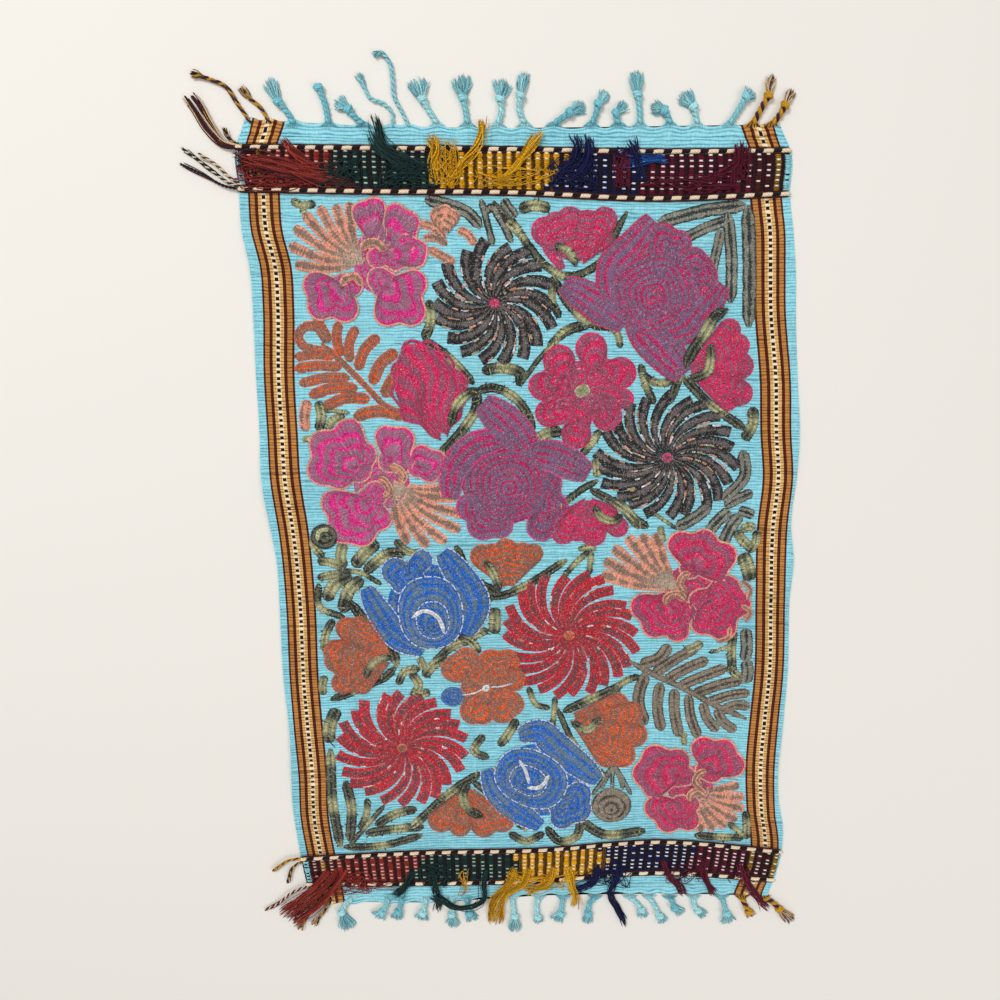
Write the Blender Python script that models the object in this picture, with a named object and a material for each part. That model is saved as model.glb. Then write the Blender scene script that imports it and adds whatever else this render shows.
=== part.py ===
"""Handwoven light-blue cloth with brocaded end bands, thick weft cords and knotted warp fringe.

The cloth lies flat on z = 0 with its middle at the origin, +X across the loom width and +Y along
the warps. Sizes and places below are in millimetres; the objects are made in metres.
"""
import math

import bmesh
import bpy
import numpy as np
from mathutils import Vector

MM = 0.001

# Driving dimensions
CLOTH_THICKNESS = 1.8
GAP = 0.3
BROCADE_THICKNESS = 0.7
BROCADE_RIB_HEIGHT = 0.8
BROCADE_RIBS = 56
BROCADE_EDGE = 0.965
CORD_WIDTH = 4.8
CORD_HEIGHT = 2.8
CORD_PLY_LENGTH = 18.0
CORD_NECK = 0.78
CORD_OVERHANG = 1.004
TASSEL_RADIUS = 2.9
TASSEL_PLY_LENGTH = 10.0
KNOT_RADIUS = 4.4
KNOT_HALF_LENGTH = 3.5
ROOT_HEIGHT = 1.26
LOCKS_PER_WIDE_TUFT = 3
LOCKS_PER_NARROW_TUFT = 2
NARROW_SPREAD = 4
LOCK_SPACING = 1.6
LOCK_ROOT_RADIUS = 1.6
LOCK_RADIUS = 2.3
LOCK_TIP_RADIUS = 1.3
LOCK_TIP_HEIGHT = 0.75
LOCK_MIDDLE = 0.55
LOCK_SWING_AT_MIDDLE = 0.7
OUTER_LOCK_SHORTENING = 0.3
SCALLOP_DEPTH = 3.0
SCALLOP_REACH = 7.0
FLOOR_CLEARANCE = 0.05

# Places along the warps of the weft lines that part the pieces
TOP_END = 374.0
TOP_OUTER_CORD = 354.0
TOP_INNER_CORD = 317.0
BOTTOM_INNER_CORD = -325.0
BOTTOM_OUTER_CORD = -357.0
BOTTOM_END = -376.0

# Side edges of the cloth as it lies: along, left, right
EDGES = (
    (-376, -216, 254),
    (-357, -221, 260),
    (-325, -226, 266),
    (-300, -229, 266),
    (-270, -232, 260),
    (-240, -232, 257),
    (-190, -232, 260),
    (-140, -236, 262),
    (-60, -237, 260),
    (-20, -238, 261),
    (10, -242, 257),
    (60, -249, 260),
    (100, -249, 260),
    (150, -250, 256),
    (200, -250, 252),
    (250, -251, 249),
    (285, -257, 245),
    (317, -258, 240),
    (354, -259, 239),
    (374, -250, 228),
)

# Where six weft lines lie in y at five even places across: along, left, mid left, middle,
# mid right, right
WEFTS = (
    (-376, -383, -382, -374, -372, -374),
    (-357, -362, -361, -358, -349, -357),
    (-325, -334, -327, -324, -315, -326),
    (317, 320, 318, 317, 312, 316),
    (354, 356, 355, 354, 352, 353),
    (374, 379, 374, 372, 373, 375),
)
PLACES_ACROSS = (-1.0, -0.5, 0.0, 0.5, 1.0)

# Stations across the cloth, closer near its edges; every piece follows the cloth between them
CLOTH_STATIONS = 17
CLOTH_ROWS = 26
FRINGE_STATIONS = 73
CLOTH_ACROSS = [math.sin(math.pi / 2 * step) for step in np.linspace(-1, 1, CLOTH_STATIONS)]

# Low ripples of the side edges: side, middle along the warps, reach along them, height
RIPPLES = (
    (-1, 262, 34, 2.6),
    (-1, 30, 42, 3.0),
    (-1, -215, 50, 2.0),
    (1, 95, 44, 2.4),
    (1, -10, 34, 1.6),
    (1, -225, 38, 2.6),
)
RIPPLE_START = 0.84

# Warp-end tassels: root x on the fringe edge, bend x and y, knot x and y, tip x and y of the tuft,
# and the tuft's half-width, which is 0 where the cord ends in a round head
TOP_TASSELS = (
    (-206, -212, 386, -219, 394, -228, 414, 5),
    (-175, -178, 393, -183, 406, -185, 412, 0),
    (-144, -151, 381, -157, 388, -169, 396, 6),
    (-78, -86, 388, -91, 396, -97, 415, 8),
    (-51, -53, 388, -55, 397, -56, 418, 8),
    (-24, -21, 386, -22, 396, -19, 414, 7),
    (0, -5, 388, -4, 399, 0, 420, 4),
    (26, 32, 380, 40, 385, 54, 393, 5),
    (60, 63, 383, 65, 392, 73, 404, 4),
    (84, 82, 379, 81, 384, 91, 394, 4),
    (103, 102, 390, 100, 400, 98, 421, 6),
    (130, 127, 383, 124, 387, 112, 391, 5),
    (154, 152, 384, 150, 390, 140, 403, 7),
    (183, 190, 387, 196, 398, 203, 405, 5),
    (204, 210, 388, 216, 399, 219, 418, 3),
    (221, 227, 383, 231, 391, 239, 405, 3),
)
BOTTOM_TASSELS = (
    (-174, -181, -384, -186, -393, -179, -415, 5),
    (-137, -140, -387, -144, -393, -150, -402, 5),
    (-123, -125, -387, -127, -392, -129, -404, 4),
    (-98, -100, -388, -102, -394, -105, -404, 5),
    (-72, -71, -388, -72, -395, -70, -413, 4),
    (-56, -55, -388, -54, -394, -49, -405, 4),
    (-9, -8, -388, -7, -397, -7, -418, 4),
    (18, 16, -385, 17, -398, 18, -408, 3),
    (43, 42, -386, 41, -394, 35, -406, 5),
    (76, 71, -383, 69, -394, 68, -408, 3),
    (112, 119, -383, 124, -390, 127, -402, 3),
    (132, 136, -383, 143, -397, 149, -407, 3),
    (153, 155, -380, 158, -388, 168, -397, 3),
    (178, 178, -383, 182, -391, 191, -400, 3),
    (207, 210, -386, 212, -394, 216, -408, 5),
    (228, 231, -385, 235, -392, 240, -400, 3),
    (250, 259, -382, 266, -389, 282, -406, 3),
)

# Fringe cords with no knot, as points (x, y) on the floor, root first
TOP_LOOSE_CORDS = (
    ((-118, 373), (-119, 387), (-126, 393), (-138, 398), (-142, 405), (-148, 418)),
    ((-103, 373), (-110, 387), (-116, 399), (-117, 413), (-120, 428), (-127, 435), (-135, 434)),
    ((-244, 376), (-255, 392), (-265, 407), (-279, 413), (-296, 418)),
    ((-227, 376), (-236, 390), (-245, 398), (-252, 407)),
)
BOTTOM_LOOSE_CORDS = (
    ((-206, -379), (-213, -388), (-221, -398), (-232, -413)),
    ((-196, -379), (-202, -390), (-210, -400), (-217, -408)),
)

# Loose tails of the brocade yarns, as points (x, y, z)
TOP_BROCADE_TAILS = (
    ((-160, 326, 3.5), (-190, 332, 5.1), (-225, 338, 5.1), (-262, 350, 4.4)),
    ((-172, 328, 3.5), (-198, 337, 5.1), (-232, 345, 5.1), (-252, 345, 4.2)),
    ((-150, 324, 3.5), (-180, 326, 4.4), (-215, 331, 5.1), (-246, 336, 5.1)),
    ((-184, 334, 3.5), (-199, 346, 5.1), (-209, 354, 7.4), (-217, 364, 4.1)),
    ((-88, 330, 3.5), (-112, 340, 5.1), (-130, 355, 7.6), (-138, 372, 4.1)),
    ((-80, 336, 3.5), (-106, 345, 5.1), (-123, 355, 7.6), (-134, 385, 2.2)),
    ((-81, 323, 3.5), (-83, 340, 5.1), (-79, 355, 7.6), (-86, 365, 4.1)),
    ((-72, 323, 3.5), (-55, 342, 5.1), (-43, 355, 7.6), (-37, 383, 2.2)),
    ((-28, 323, 3.5), (-8, 340, 5.1), (4, 354, 7.6), (15, 370, 4.1)),
    ((22, 323, 3.5), (40, 340, 5.1), (47, 353, 7.6), (45, 367, 4.1)),
    ((38, 323, 3.5), (54, 340, 5.1), (57, 353, 7.6), (56, 368, 4.1)),
    ((108, 326, 3.5), (102, 340, 5.1), (98, 352, 7.6), (95, 364, 4.1)),
    ((150, 323, 3.5), (176, 333, 5.1), (190, 342, 5.1), (191, 352, 7.6), (192, 361, 4.1)),
)
BOTTOM_BROCADE_TAILS = (
    ((-198, -345, 3.5), (-209, -360, 7.6), (-230, -380, 5.1), (-250, -397, 2.4)),
    ((-188, -345, 3.5), (-200, -361, 7.6), (-222, -383, 7.2), (-243, -403, 2.4)),
    ((-177, -345, 3.5), (-190, -361, 7.6), (-208, -381, 8.0), (-228, -397, 7.2), (-238, -409, 2.6)),
    ((-112, -344, 3.5), (-118, -360, 7.6), (-127, -371, 4.4), (-134, -375, 4.3)),
    ((-92, -344, 3.5), (-89, -360, 7.6), (-86, -376, 4.4), (-87, -394, 2.2)),
    ((-36, -344, 3.5), (-39, -358, 7.6), (-40, -378, 6.6), (-54, -384, 8.6), (-70, -384, 8.6),
     (-82, -379, 5.4), (-96, -371, 4.2)),
    ((-6, -343, 3.5), (-13, -358, 7.6), (-26, -377, 4.2), (-31, -410, 2.2)),
    ((8, -343, 3.5), (3, -357, 7.6), (-16, -374, 5.1), (-22, -410, 2.2)),
    ((34, -342, 3.5), (29, -356, 7.6), (16, -365, 4.4), (4, -370, 4.2)),
    ((46, -341, 3.5), (49, -355, 7.6), (55, -374, 4.2), (54, -391, 2.2)),
    ((78, -339, 3.5), (75, -354, 7.6), (62, -365, 4.3), (49, -369, 4.2)),
    ((100, -338, 3.5), (97, -353, 7.6), (91, -372, 4.2), (99, -389, 2.4), (110, -411, 2.2)),
    ((146, -334, 3.5), (150, -350, 7.6), (161, -363, 4.4), (168, -376, 4.2)),
    ((183, -334, 3.5), (187, -350, 7.6), (194, -365, 4.4), (200, -374, 4.2)),
    ((222, -338, 3.5), (229, -354, 7.6), (241, -374, 4.4), (255, -391, 2.4)),
)

# Left ends of the weft cords' yarns, as points (x, y, z)
TOP_OUTER_ENDS = (
    ((-252, 356, 3.7), (-268, 361, 3.6), (-280, 376, 2.4), (-291, 396, 2.4), (-297, 403, 2.4)),
    ((-253, 355, 3.6), (-270, 357, 3.6), (-284, 370, 2.4), (-297, 390, 2.4), (-304, 399, 2.4)),
    ((-250, 356, 3.8), (-263, 362, 3.6), (-269, 373, 2.4)),
)
TOP_INNER_ENDS = (
    ((-250, 320, 3.7), (-267, 326, 3.6), (-280, 335, 2.4), (-294, 346, 2.4), (-308, 356, 2.4)),
    ((-248, 320, 3.8), (-265, 330, 3.6), (-277, 341, 2.4), (-293, 351, 2.4)),
    ((-251, 319, 3.6), (-271, 323, 3.6), (-290, 333, 2.4), (-310, 342, 2.4)),
)
BOTTOM_INNER_ENDS = (
    ((-219, -333, 3.7), (-237, -335, 3.6), (-256, -348, 2.4)),
    ((-217, -333, 3.6), (-233, -342, 3.5), (-241, -362, 2.4)),
)
BOTTOM_OUTER_ENDS = (
    ((-214, -362, 3.7), (-234, -370, 3.6), (-254, -386, 2.4), (-266, -392, 2.4)),
)
TAIL_RADIUS = 2.1
TAIL_TIP_RADIUS = 1.3
CORD_END_RADIUS = 2.0
ROOT_RADIUS = 1.1
TAIL_STEP = 8.0
LOCK_STEP = 10.0
TWIST_STEP = 6.0

# Materials: red, green, blue, roughness
COLOURS = {
    "light blue": (0.24, 0.62, 0.72, 0.85),
    "plied cord": (0.66, 0.55, 0.42, 0.75),
    "brocade": (0.30, 0.05, 0.05, 0.8),
    "fringe": (0.20, 0.60, 0.72, 0.9),
}


def smooth(value, stations, heights):
    """Height at a value of the smooth curve through the stations."""
    stations = np.asarray(stations, dtype=float)
    heights = np.asarray(heights, dtype=float)
    slopes = np.gradient(heights, stations)
    value = min(max(value, stations[0]), stations[-1])
    cell = int(np.clip(np.searchsorted(stations, value, side="right") - 1, 0, len(stations) - 2))
    width = stations[cell + 1] - stations[cell]
    part = (value - stations[cell]) / width
    rest = 1 - part
    start = (1 + 2 * part) * rest**2 * heights[cell] + part * rest**2 * width * slopes[cell]
    end = part**2 * (3 - 2 * part) * heights[cell + 1] - part**2 * rest * width * slopes[cell + 1]
    return float(start + end)


def lift(across, along):
    """How far the cloth stands off the floor at its rippled side edges."""
    total = 0.0
    for side, middle, reach, height in RIPPLES:
        rise = max(0.0, (side * across - RIPPLE_START) / (1 - RIPPLE_START))
        total += height * rise**2 * math.exp(-((along - middle) / reach) ** 2)
    return total


def weft_line(heights):
    """A weft line's y at the cloth's stations, smooth through its heights at the five places."""
    return [smooth(station, PLACES_ACROSS, heights) for station in CLOTH_ACROSS]


def place(across, along, above=0.0):
    """Point of the laid cloth in millimetres; across runs from -1, left edge, to 1, right edge."""
    edge_stations, left_edge, right_edge = np.array(EDGES, dtype=float).T
    left = smooth(along, edge_stations, left_edge)
    right = smooth(along, edge_stations, right_edge)
    heights = [np.interp(across, CLOTH_ACROSS, weft_line(row[1:])) for row in WEFTS]
    y = float(np.interp(along, [row[0] for row in WEFTS], heights))
    x = left + (right - left) * (across + 1) / 2
    return Vector((x, y, lift(across, along) + above))


def material(name):
    """Plain finish of one kind of yarn."""
    red, green, blue, roughness = COLOURS[name]
    finish = bpy.data.materials.get(name) or bpy.data.materials.new(name)
    finish.use_nodes = True
    shader = finish.node_tree.nodes["Principled BSDF"]
    shader.inputs["Base Color"].default_value = (red, green, blue, 1)
    shader.inputs["Roughness"].default_value = roughness
    shader.inputs["Metallic"].default_value = 0.0
    finish.diffuse_color = (red, green, blue, 1)
    return finish


def add_object(name, mesh, collection, finish=None):
    """Object of that name in the collection, with its finish."""
    thing = bpy.data.objects.new(name, mesh)
    collection.objects.link(thing)
    if finish is not None:
        mesh.materials.clear()
        mesh.materials.append(material(finish))
    return thing


def slab(name, across, along, low, high, finish, edge=None):
    """Closed sheet over stations across and along, from height low to height high(column).

    edge(across, along) moves a point along the warps, for a scalloped fringe edge.
    """
    bm = bmesh.new()
    bmesh.ops.create_grid(bm, x_segments=len(across) - 1, y_segments=len(along) - 1, size=1)
    cells = {}
    for vertex in bm.verts:
        step_across = round((vertex.co.x + 1) / 2 * (len(across) - 1))
        step_along = round((vertex.co.y + 1) / 2 * (len(along) - 1))
        cells[vertex.index] = (step_across, step_along)
    grid = bm.verts[:]
    extruded = bmesh.ops.extrude_face_region(bm, geom=bm.faces[:], use_keep_orig=True)
    raised = [part for part in extruded["geom"] if isinstance(part, bmesh.types.BMVert)]
    where = {tuple(round(c, 5) for c in vertex.co): cells[vertex.index] for vertex in grid}
    steps = {vertex: where[tuple(round(c, 5) for c in vertex.co)] for vertex in raised}
    for vertex in grid:
        step_across, step_along = cells[vertex.index]
        vertex.co = sheet_point(across[step_across], along[step_along], low, edge)
    for vertex, (step_across, step_along) in steps.items():
        vertex.co = sheet_point(across[step_across], along[step_along], high(step_across), edge)
    bmesh.ops.recalc_face_normals(bm, faces=bm.faces[:])
    mesh = bpy.data.meshes.new(name)
    bm.to_mesh(mesh)
    bm.free()
    return add_object(name, mesh, parts, finish)


def sheet_point(across, along, above, edge):
    """Grid point of a slab in metres."""
    shift = edge(across, along) if edge else 0.0
    point = place(across, along, above)
    point.y += shift
    return point * MM


def profile(name, outline):
    """Closed outline in millimetres that a strand's curve sweeps along its route."""
    curve = bpy.data.curves.new(name, "CURVE")
    curve.dimensions = "2D"
    spline = curve.splines.new("POLY")
    spline.points.add(len(outline) - 1)
    for point, (x, y) in zip(spline.points, outline):
        point.co = (x * MM, y * MM, 0, 1)
    spline.use_cyclic_u = True
    guide = bpy.data.objects.new(name, curve)
    guides.objects.link(guide)
    guide.hide_render = True
    guide.display_type = "WIRE"
    return guide


def regular(sides):
    """Outline of unit radius with a flat side down."""
    first = -math.pi / 2 + math.pi / sides
    turn = 2 * math.pi / sides
    return [(math.cos(first + turn * k), math.sin(first + turn * k)) for k in range(sides)]


def sweep(name, section, routes, finish):
    """Strands as one mesh; each route has rows of x, y, z, radius and twist."""
    curve = bpy.data.curves.new(name, "CURVE")
    curve.dimensions = "3D"
    curve.bevel_mode = "OBJECT"
    curve.bevel_object = section
    curve.use_fill_caps = True
    curve.twist_mode = "Z_UP"
    for route in routes:
        spline = curve.splines.new("POLY")
        spline.points.add(len(route) - 1)
        for point, (x, y, z, radius, twist) in zip(spline.points, route):
            point.co = (x * MM, y * MM, z * MM, 1)
            point.radius = radius
            point.tilt = twist
    swept = bpy.data.objects.new(name, curve)
    parts.objects.link(swept)
    thing = add_object(name, evaluated_mesh(swept), parts, finish)
    thing.matrix_world = swept.matrix_world
    bpy.data.objects.remove(swept)
    close_caps(thing.data)
    thing.name = name
    return thing


def evaluated_mesh(thing):
    """Mesh of an object with its modifiers or its curve's sweep applied."""
    graph = bpy.context.evaluated_depsgraph_get()
    return bpy.data.meshes.new_from_object(thing.evaluated_get(graph))


def close_caps(mesh):
    """Weld the loose caps of swept strands and turn all faces outwards."""
    bm = bmesh.new()
    bm.from_mesh(mesh)
    bmesh.ops.remove_doubles(bm, verts=bm.verts[:], dist=0.00001)
    bmesh.ops.recalc_face_normals(bm, faces=bm.faces[:])
    bm.to_mesh(mesh)
    bm.free()


def fuse(base, pieces):
    """Make a piece and the strands rooted in it one closed body."""
    for piece in pieces:
        joint = base.modifiers.new("fuse " + piece.name, "BOOLEAN")
        joint.operation = "UNION"
        joint.solver = "EXACT"
        joint.use_self = True
        joint.object = piece
    finish = base.data.materials[0]
    joined = evaluated_mesh(base)
    base.modifiers.clear()
    base.data = joined
    joined.materials.clear()
    joined.materials.append(finish)
    for piece in pieces:
        bpy.data.objects.remove(piece)


def route_through(points, radii, step_length, ply_length=None):
    """Even steps along the smooth curve through the points, with a radius for each point."""
    rows = np.column_stack((np.array(points, dtype=float), radii))
    runs = np.linalg.norm(np.diff(rows[:, :3], axis=0), axis=1)
    reached = np.concatenate(([0.0], np.cumsum(runs)))
    steps = max(2, round(reached[-1] / step_length))
    route = []
    for distance in np.linspace(0.0, reached[-1], steps + 1):
        x, y, z, radius = (smooth(distance, reached, rows[:, k]) for k in range(4))
        twist = math.pi / 2 * distance / ply_length if ply_length else 0.0
        route.append((x, y, z, radius, twist))
    return route


def tail_route(points, radius):
    """Loose yarn tail of one radius with a thinner tip."""
    return route_through(points, [radius] * (len(points) - 1) + [TAIL_TIP_RADIUS], TAIL_STEP)


def over_cord(route, cord_along):
    """The route, raised where it crosses a weft cord."""
    left = place(-1, cord_along).x
    right = place(1, cord_along).x
    reach = CORD_WIDTH / 2 + TAIL_STEP
    raised = []
    for x, y, z, radius, twist in route:
        across = 2 * (x - left) / (right - left) - 1
        near = abs(y - place(across, cord_along).y) < reach and x > left - reach
        top = CLOTH_THICKNESS + CORD_HEIGHT + 2 * GAP + radius
        raised.append((x, y, max(z, top) if near else z, radius, twist))
    return raised


def weft_cord(name, along, ends):
    """Thick plied weft cord over the cloth, with its yarns' loose ends at the left."""
    length = (place(1, along) - place(-1, along)).length
    steps = round(length / (CORD_PLY_LENGTH / 2))
    middle = CLOTH_THICKNESS + GAP + CORD_HEIGHT / 2
    route = []
    for step in range(steps + 1):
        point = place(CORD_OVERHANG * (2 * step / steps - 1), along, middle)
        width = 1.0 if step % 2 else CORD_NECK
        route.append((point.x, point.y, point.z, width, 0.0))
    cord = sweep(name, cord_outline, [route], "plied cord")
    tails = [tail_route(end, CORD_END_RADIUS) for end in ends]
    fuse(cord, [sweep("yarn ends", four_sided, tails, "plied cord")])
    return cord


def brocade(name, low_cord, high_cord, outer_cord, tails):
    """Band of supplementary wefts between two cords, ribbed by its warps, with loose tails."""
    clear = CORD_WIDTH / 2 + GAP
    along = (low_cord + clear, high_cord - clear)
    across = np.linspace(-BROCADE_EDGE, BROCADE_EDGE, 2 * BROCADE_RIBS + 1)
    bottom = CLOTH_THICKNESS + GAP

    def top(step):
        return bottom + BROCADE_THICKNESS + (BROCADE_RIB_HEIGHT if step % 2 else 0.0)

    band = slab(name, across, along, bottom, top, "brocade")
    routes = [over_cord(tail_route(tail, TAIL_RADIUS), outer_cord) for tail in tails]
    fuse(band, [sweep("tails", three_sided, routes, "brocade")])
    return band


def tassel_routes(row, outwards):
    """Twisted cord with its knot, and the tuft's locks, of one warp-end tassel."""
    root_x, bend_x, bend_y, knot_x, knot_y, tip_x, tip_y, spread = row
    edge = TOP_END if outwards > 0 else BOTTOM_END
    root = (root_x, edge - outwards * SCALLOP_REACH / 2, ROOT_HEIGHT)
    knot = Vector((knot_x, knot_y))
    lean = Vector((tip_x, tip_y)) - knot
    before = knot - (knot - Vector((bend_x, bend_y))).normalized() * KNOT_HALF_LENGTH
    after = knot + lean.normalized() * KNOT_HALF_LENGTH
    rest = TASSEL_RADIUS + FLOOR_CLEARANCE
    cord = (root, (bend_x, bend_y, rest), (*before, rest))
    radii = (ROOT_RADIUS, TASSEL_RADIUS, TASSEL_RADIUS)
    twisted = route_through(cord, radii, TWIST_STEP, TASSEL_PLY_LENGTH)
    twist = twisted[-1][4]
    knot_height = KNOT_RADIUS + FLOOR_CLEARANCE
    twisted.append((*knot, knot_height, KNOT_RADIUS, twist + math.pi / 4))
    twisted.append((*after, rest, TASSEL_RADIUS, twist + math.pi / 2))
    locks = []
    side = Vector((-lean.y, lean.x)).normalized()
    count = LOCKS_PER_WIDE_TUFT if spread > NARROW_SPREAD else LOCKS_PER_NARROW_TUFT
    for lock in range(count if spread else 0):
        turn = 2 * lock / (count - 1) - 1
        swing = spread * turn
        start = knot + side * LOCK_SPACING * turn
        middle = knot + lean * LOCK_MIDDLE + side * swing * LOCK_SWING_AT_MIDDLE
        tip = knot + lean + side * swing - lean.normalized() * abs(swing) * OUTER_LOCK_SHORTENING
        lie = LOCK_RADIUS / 2 + FLOOR_CLEARANCE
        points = ((*start, LOCK_RADIUS), (*middle, lie), (*tip, LOCK_TIP_HEIGHT))
        radii = (LOCK_ROOT_RADIUS, LOCK_RADIUS, LOCK_TIP_RADIUS)
        locks.append(route_through(points, radii, LOCK_STEP))
    return twisted, locks


def fringe(name, cord_along, end_along, tassels, loose_cords):
    """Narrow blue end of the cloth beyond the outer cord, with its knotted warp ends."""
    outwards = 1 if end_along > 0 else -1
    roots = [row[0] for row in tassels] + [points[0][0] for points in loose_cords]

    def scallop(across, along):
        if along != end_along:
            return 0.0
        x = place(across, along).x
        pull = max(math.exp(-((x - root) / SCALLOP_REACH) ** 2) for root in roots)
        return outwards * SCALLOP_DEPTH * pull

    start = cord_along + outwards * GAP
    stations = sorted((start, end_along))
    across = np.linspace(-1, 1, FRINGE_STATIONS)
    strip = slab(name, across, stations, 0.0, lambda step: CLOTH_THICKNESS, "fringe", scallop)
    twisted = []
    locks = []
    for row in tassels:
        cord, tuft = tassel_routes(row, outwards)
        twisted.append(cord)
        locks.extend(tuft)
    rest = TAIL_RADIUS + FLOOR_CLEARANCE
    for points in loose_cords:
        later = len(points) - 1
        heights = [ROOT_HEIGHT] + [rest] * later
        route = [(x, y, z) for (x, y), z in zip(points, heights)]
        radii = [ROOT_RADIUS] + [TAIL_RADIUS] * later
        twisted.append(route_through(route, radii, TWIST_STEP, TASSEL_PLY_LENGTH))
    fuse(strip, [sweep("twisted cords", four_sided, twisted, "fringe"),
                 sweep("locks", three_sided, locks, "fringe")])
    return strip


for old in list(bpy.data.objects):
    bpy.data.objects.remove(old)

parts = bpy.data.collections.new("embroidered cloth")
guides = bpy.data.collections.new("guides")
bpy.context.scene.collection.children.link(parts)
bpy.context.scene.collection.children.link(guides)

three_sided = profile("lock outline", regular(3))
four_sided = profile("cord outline", regular(4))
cord_outline = profile("weft cord outline", [
    (-CORD_WIDTH / 2, -CORD_HEIGHT / 2),
    (CORD_WIDTH / 2, -CORD_HEIGHT / 2),
    (CORD_WIDTH / 4, CORD_HEIGHT / 2),
    (-CORD_WIDTH / 4, CORD_HEIGHT / 2),
])

# Ground cloth between the outer cords
cloth_along = np.linspace(BOTTOM_OUTER_CORD, TOP_OUTER_CORD, CLOTH_ROWS)
slab("cloth", CLOTH_ACROSS, cloth_along, 0.0, lambda step: CLOTH_THICKNESS, "light blue")

brocade("brocade_top", TOP_INNER_CORD, TOP_OUTER_CORD, TOP_OUTER_CORD, TOP_BROCADE_TAILS)
brocade("brocade_bottom", BOTTOM_OUTER_CORD, BOTTOM_INNER_CORD, BOTTOM_OUTER_CORD,
        BOTTOM_BROCADE_TAILS)

weft_cord("cord_top_outer", TOP_OUTER_CORD, TOP_OUTER_ENDS)
weft_cord("cord_top_inner", TOP_INNER_CORD, TOP_INNER_ENDS)
weft_cord("cord_bottom_inner", BOTTOM_INNER_CORD, BOTTOM_INNER_ENDS)
weft_cord("cord_bottom_outer", BOTTOM_OUTER_CORD, BOTTOM_OUTER_ENDS)

fringe("fringe_top", TOP_OUTER_CORD, TOP_END, TOP_TASSELS, TOP_LOOSE_CORDS)
fringe("fringe_bottom", BOTTOM_OUTER_CORD, BOTTOM_END, BOTTOM_TASSELS, BOTTOM_LOOSE_CORDS)
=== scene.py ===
"""Looks of the embroidered handwoven cloth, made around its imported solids.

Sizes and places are in millimetres on the laid cloth, +X across the loom width and +Y along the
warps, and meshes are made in metres. Motifs are placed by pixels of the photograph's 1000 by 1000
frame, which the camera lays onto the cloth.
"""
import math

import bmesh
import bpy
import numpy as np
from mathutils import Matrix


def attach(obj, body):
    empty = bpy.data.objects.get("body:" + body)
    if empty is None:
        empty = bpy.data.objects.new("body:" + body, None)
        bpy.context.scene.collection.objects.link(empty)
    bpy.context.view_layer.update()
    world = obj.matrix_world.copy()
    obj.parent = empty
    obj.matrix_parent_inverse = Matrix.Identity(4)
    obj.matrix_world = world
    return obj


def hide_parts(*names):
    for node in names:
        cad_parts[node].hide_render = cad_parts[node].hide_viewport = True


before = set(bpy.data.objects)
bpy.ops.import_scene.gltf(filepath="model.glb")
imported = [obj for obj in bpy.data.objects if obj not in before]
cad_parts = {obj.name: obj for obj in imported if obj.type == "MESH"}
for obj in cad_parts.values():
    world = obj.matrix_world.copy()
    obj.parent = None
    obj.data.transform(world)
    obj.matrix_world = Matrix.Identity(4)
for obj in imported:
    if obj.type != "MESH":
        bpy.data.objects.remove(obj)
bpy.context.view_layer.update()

MM = 0.001
rng = np.random.default_rng(20)

# Driving dimensions, as in the solids
CLOTH_THICKNESS = 1.8
TOP_END = 374.0
TOP_OUTER_CORD = 354.0
TOP_INNER_CORD = 317.0
BOTTOM_INNER_CORD = -325.0
BOTTOM_OUTER_CORD = -357.0
BOTTOM_END = -376.0
SCALLOP_DEPTH = 3.0
SCALLOP_REACH = 7.0
TASSEL_RADIUS = 2.9

# Ground weave
RIB_PITCH = 2.75
RIB_HEIGHT = 0.6
RIB_SUNK = 0.7  # share of a rib's height that lies below the cloth's upper face
RIB_POINTS = 4  # points along the warps in one rib
RIB_SIZES = (0.8, 1.12)  # least and greatest share of its height that a rib has
RIB_SWAYS = ((3, 0.3), (13, 0.22), (38, 0.2))  # waves along a rib and their size
SELVAGE_BULGE = 0.5
UNDERSIDE = 0.02  # height of the underside over the floor
GROUND_COLUMNS = 79  # points across the ground cloth
STRIP_COLUMNS = 181  # points across each fringed strip
STRIPE_WIDTH = 29.0
WELD_REACH = 0.000001  # metres within which the points of a seam are one

# Brocade of the two bands
FLOAT_PITCH = 8.6
FLOAT_ROWS = 7
FLOAT_HALF = 0.01085  # half a float's length, as a share of half the cloth's width
FLOAT_RISE = 0.75
FLOAT_YARNS = (-0.3, 0.02, 0.34)  # places of a float's yarns, as shares of a row
FLOAT_YARN_RADIUS = 0.2  # as a share of a row
DASH_SHARE = 0.74  # share of the rows that show a pale dash
DASH_FULLER = 0.12
DARK_WARPS = (-0.26, 0.0, 0.26)  # places of the warps between two columns of floats
DARK_WARP_SPREAD = 0.42
DARK_WARP_RADIUS = 0.55
COLUMN_DRIFT = 0.0012  # unevenness of the columns, as a share of half the cloth's width
ROW_DRIFT = 0.12
WARP_DRIFT = 0.16
BROCADE_LOW = 2.5  # height of the floats' ends
BROCADE_SHADOW_HEIGHT = 0.75  # height of the dark sheet, painted shadow under the floats, over the cloth
CLEAR_OF_CORD = 2.9

# Weft cords and their loose ends
CORD_LIE = 3.3
CORD_OVERHANG = 1.003  # reach across the cloth, whose edge is at 1
CORD_POINTS = 260
CORD_PLY_LENGTH = 16.4
CORD_PLY_RADIUS = 1.75
CORD_PLY_OFFSET = 1.2
CORD_FLAT = 0.6  # share of the plies' height that is left
CORD_NARROW = 0.08  # share of the plies' sideways swing that is left
SIDE_YARN_OUT = 2.3
SIDE_YARN_UP = 0.1
SIDE_YARN_RADIUS = 0.85
END_PLY_LENGTH = 7.0
END_PLY_RADIUS = 0.75
END_PLY_OFFSET = 0.7
OPENED_ENDS = 2  # ends of the upper cord that have come open

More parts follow.
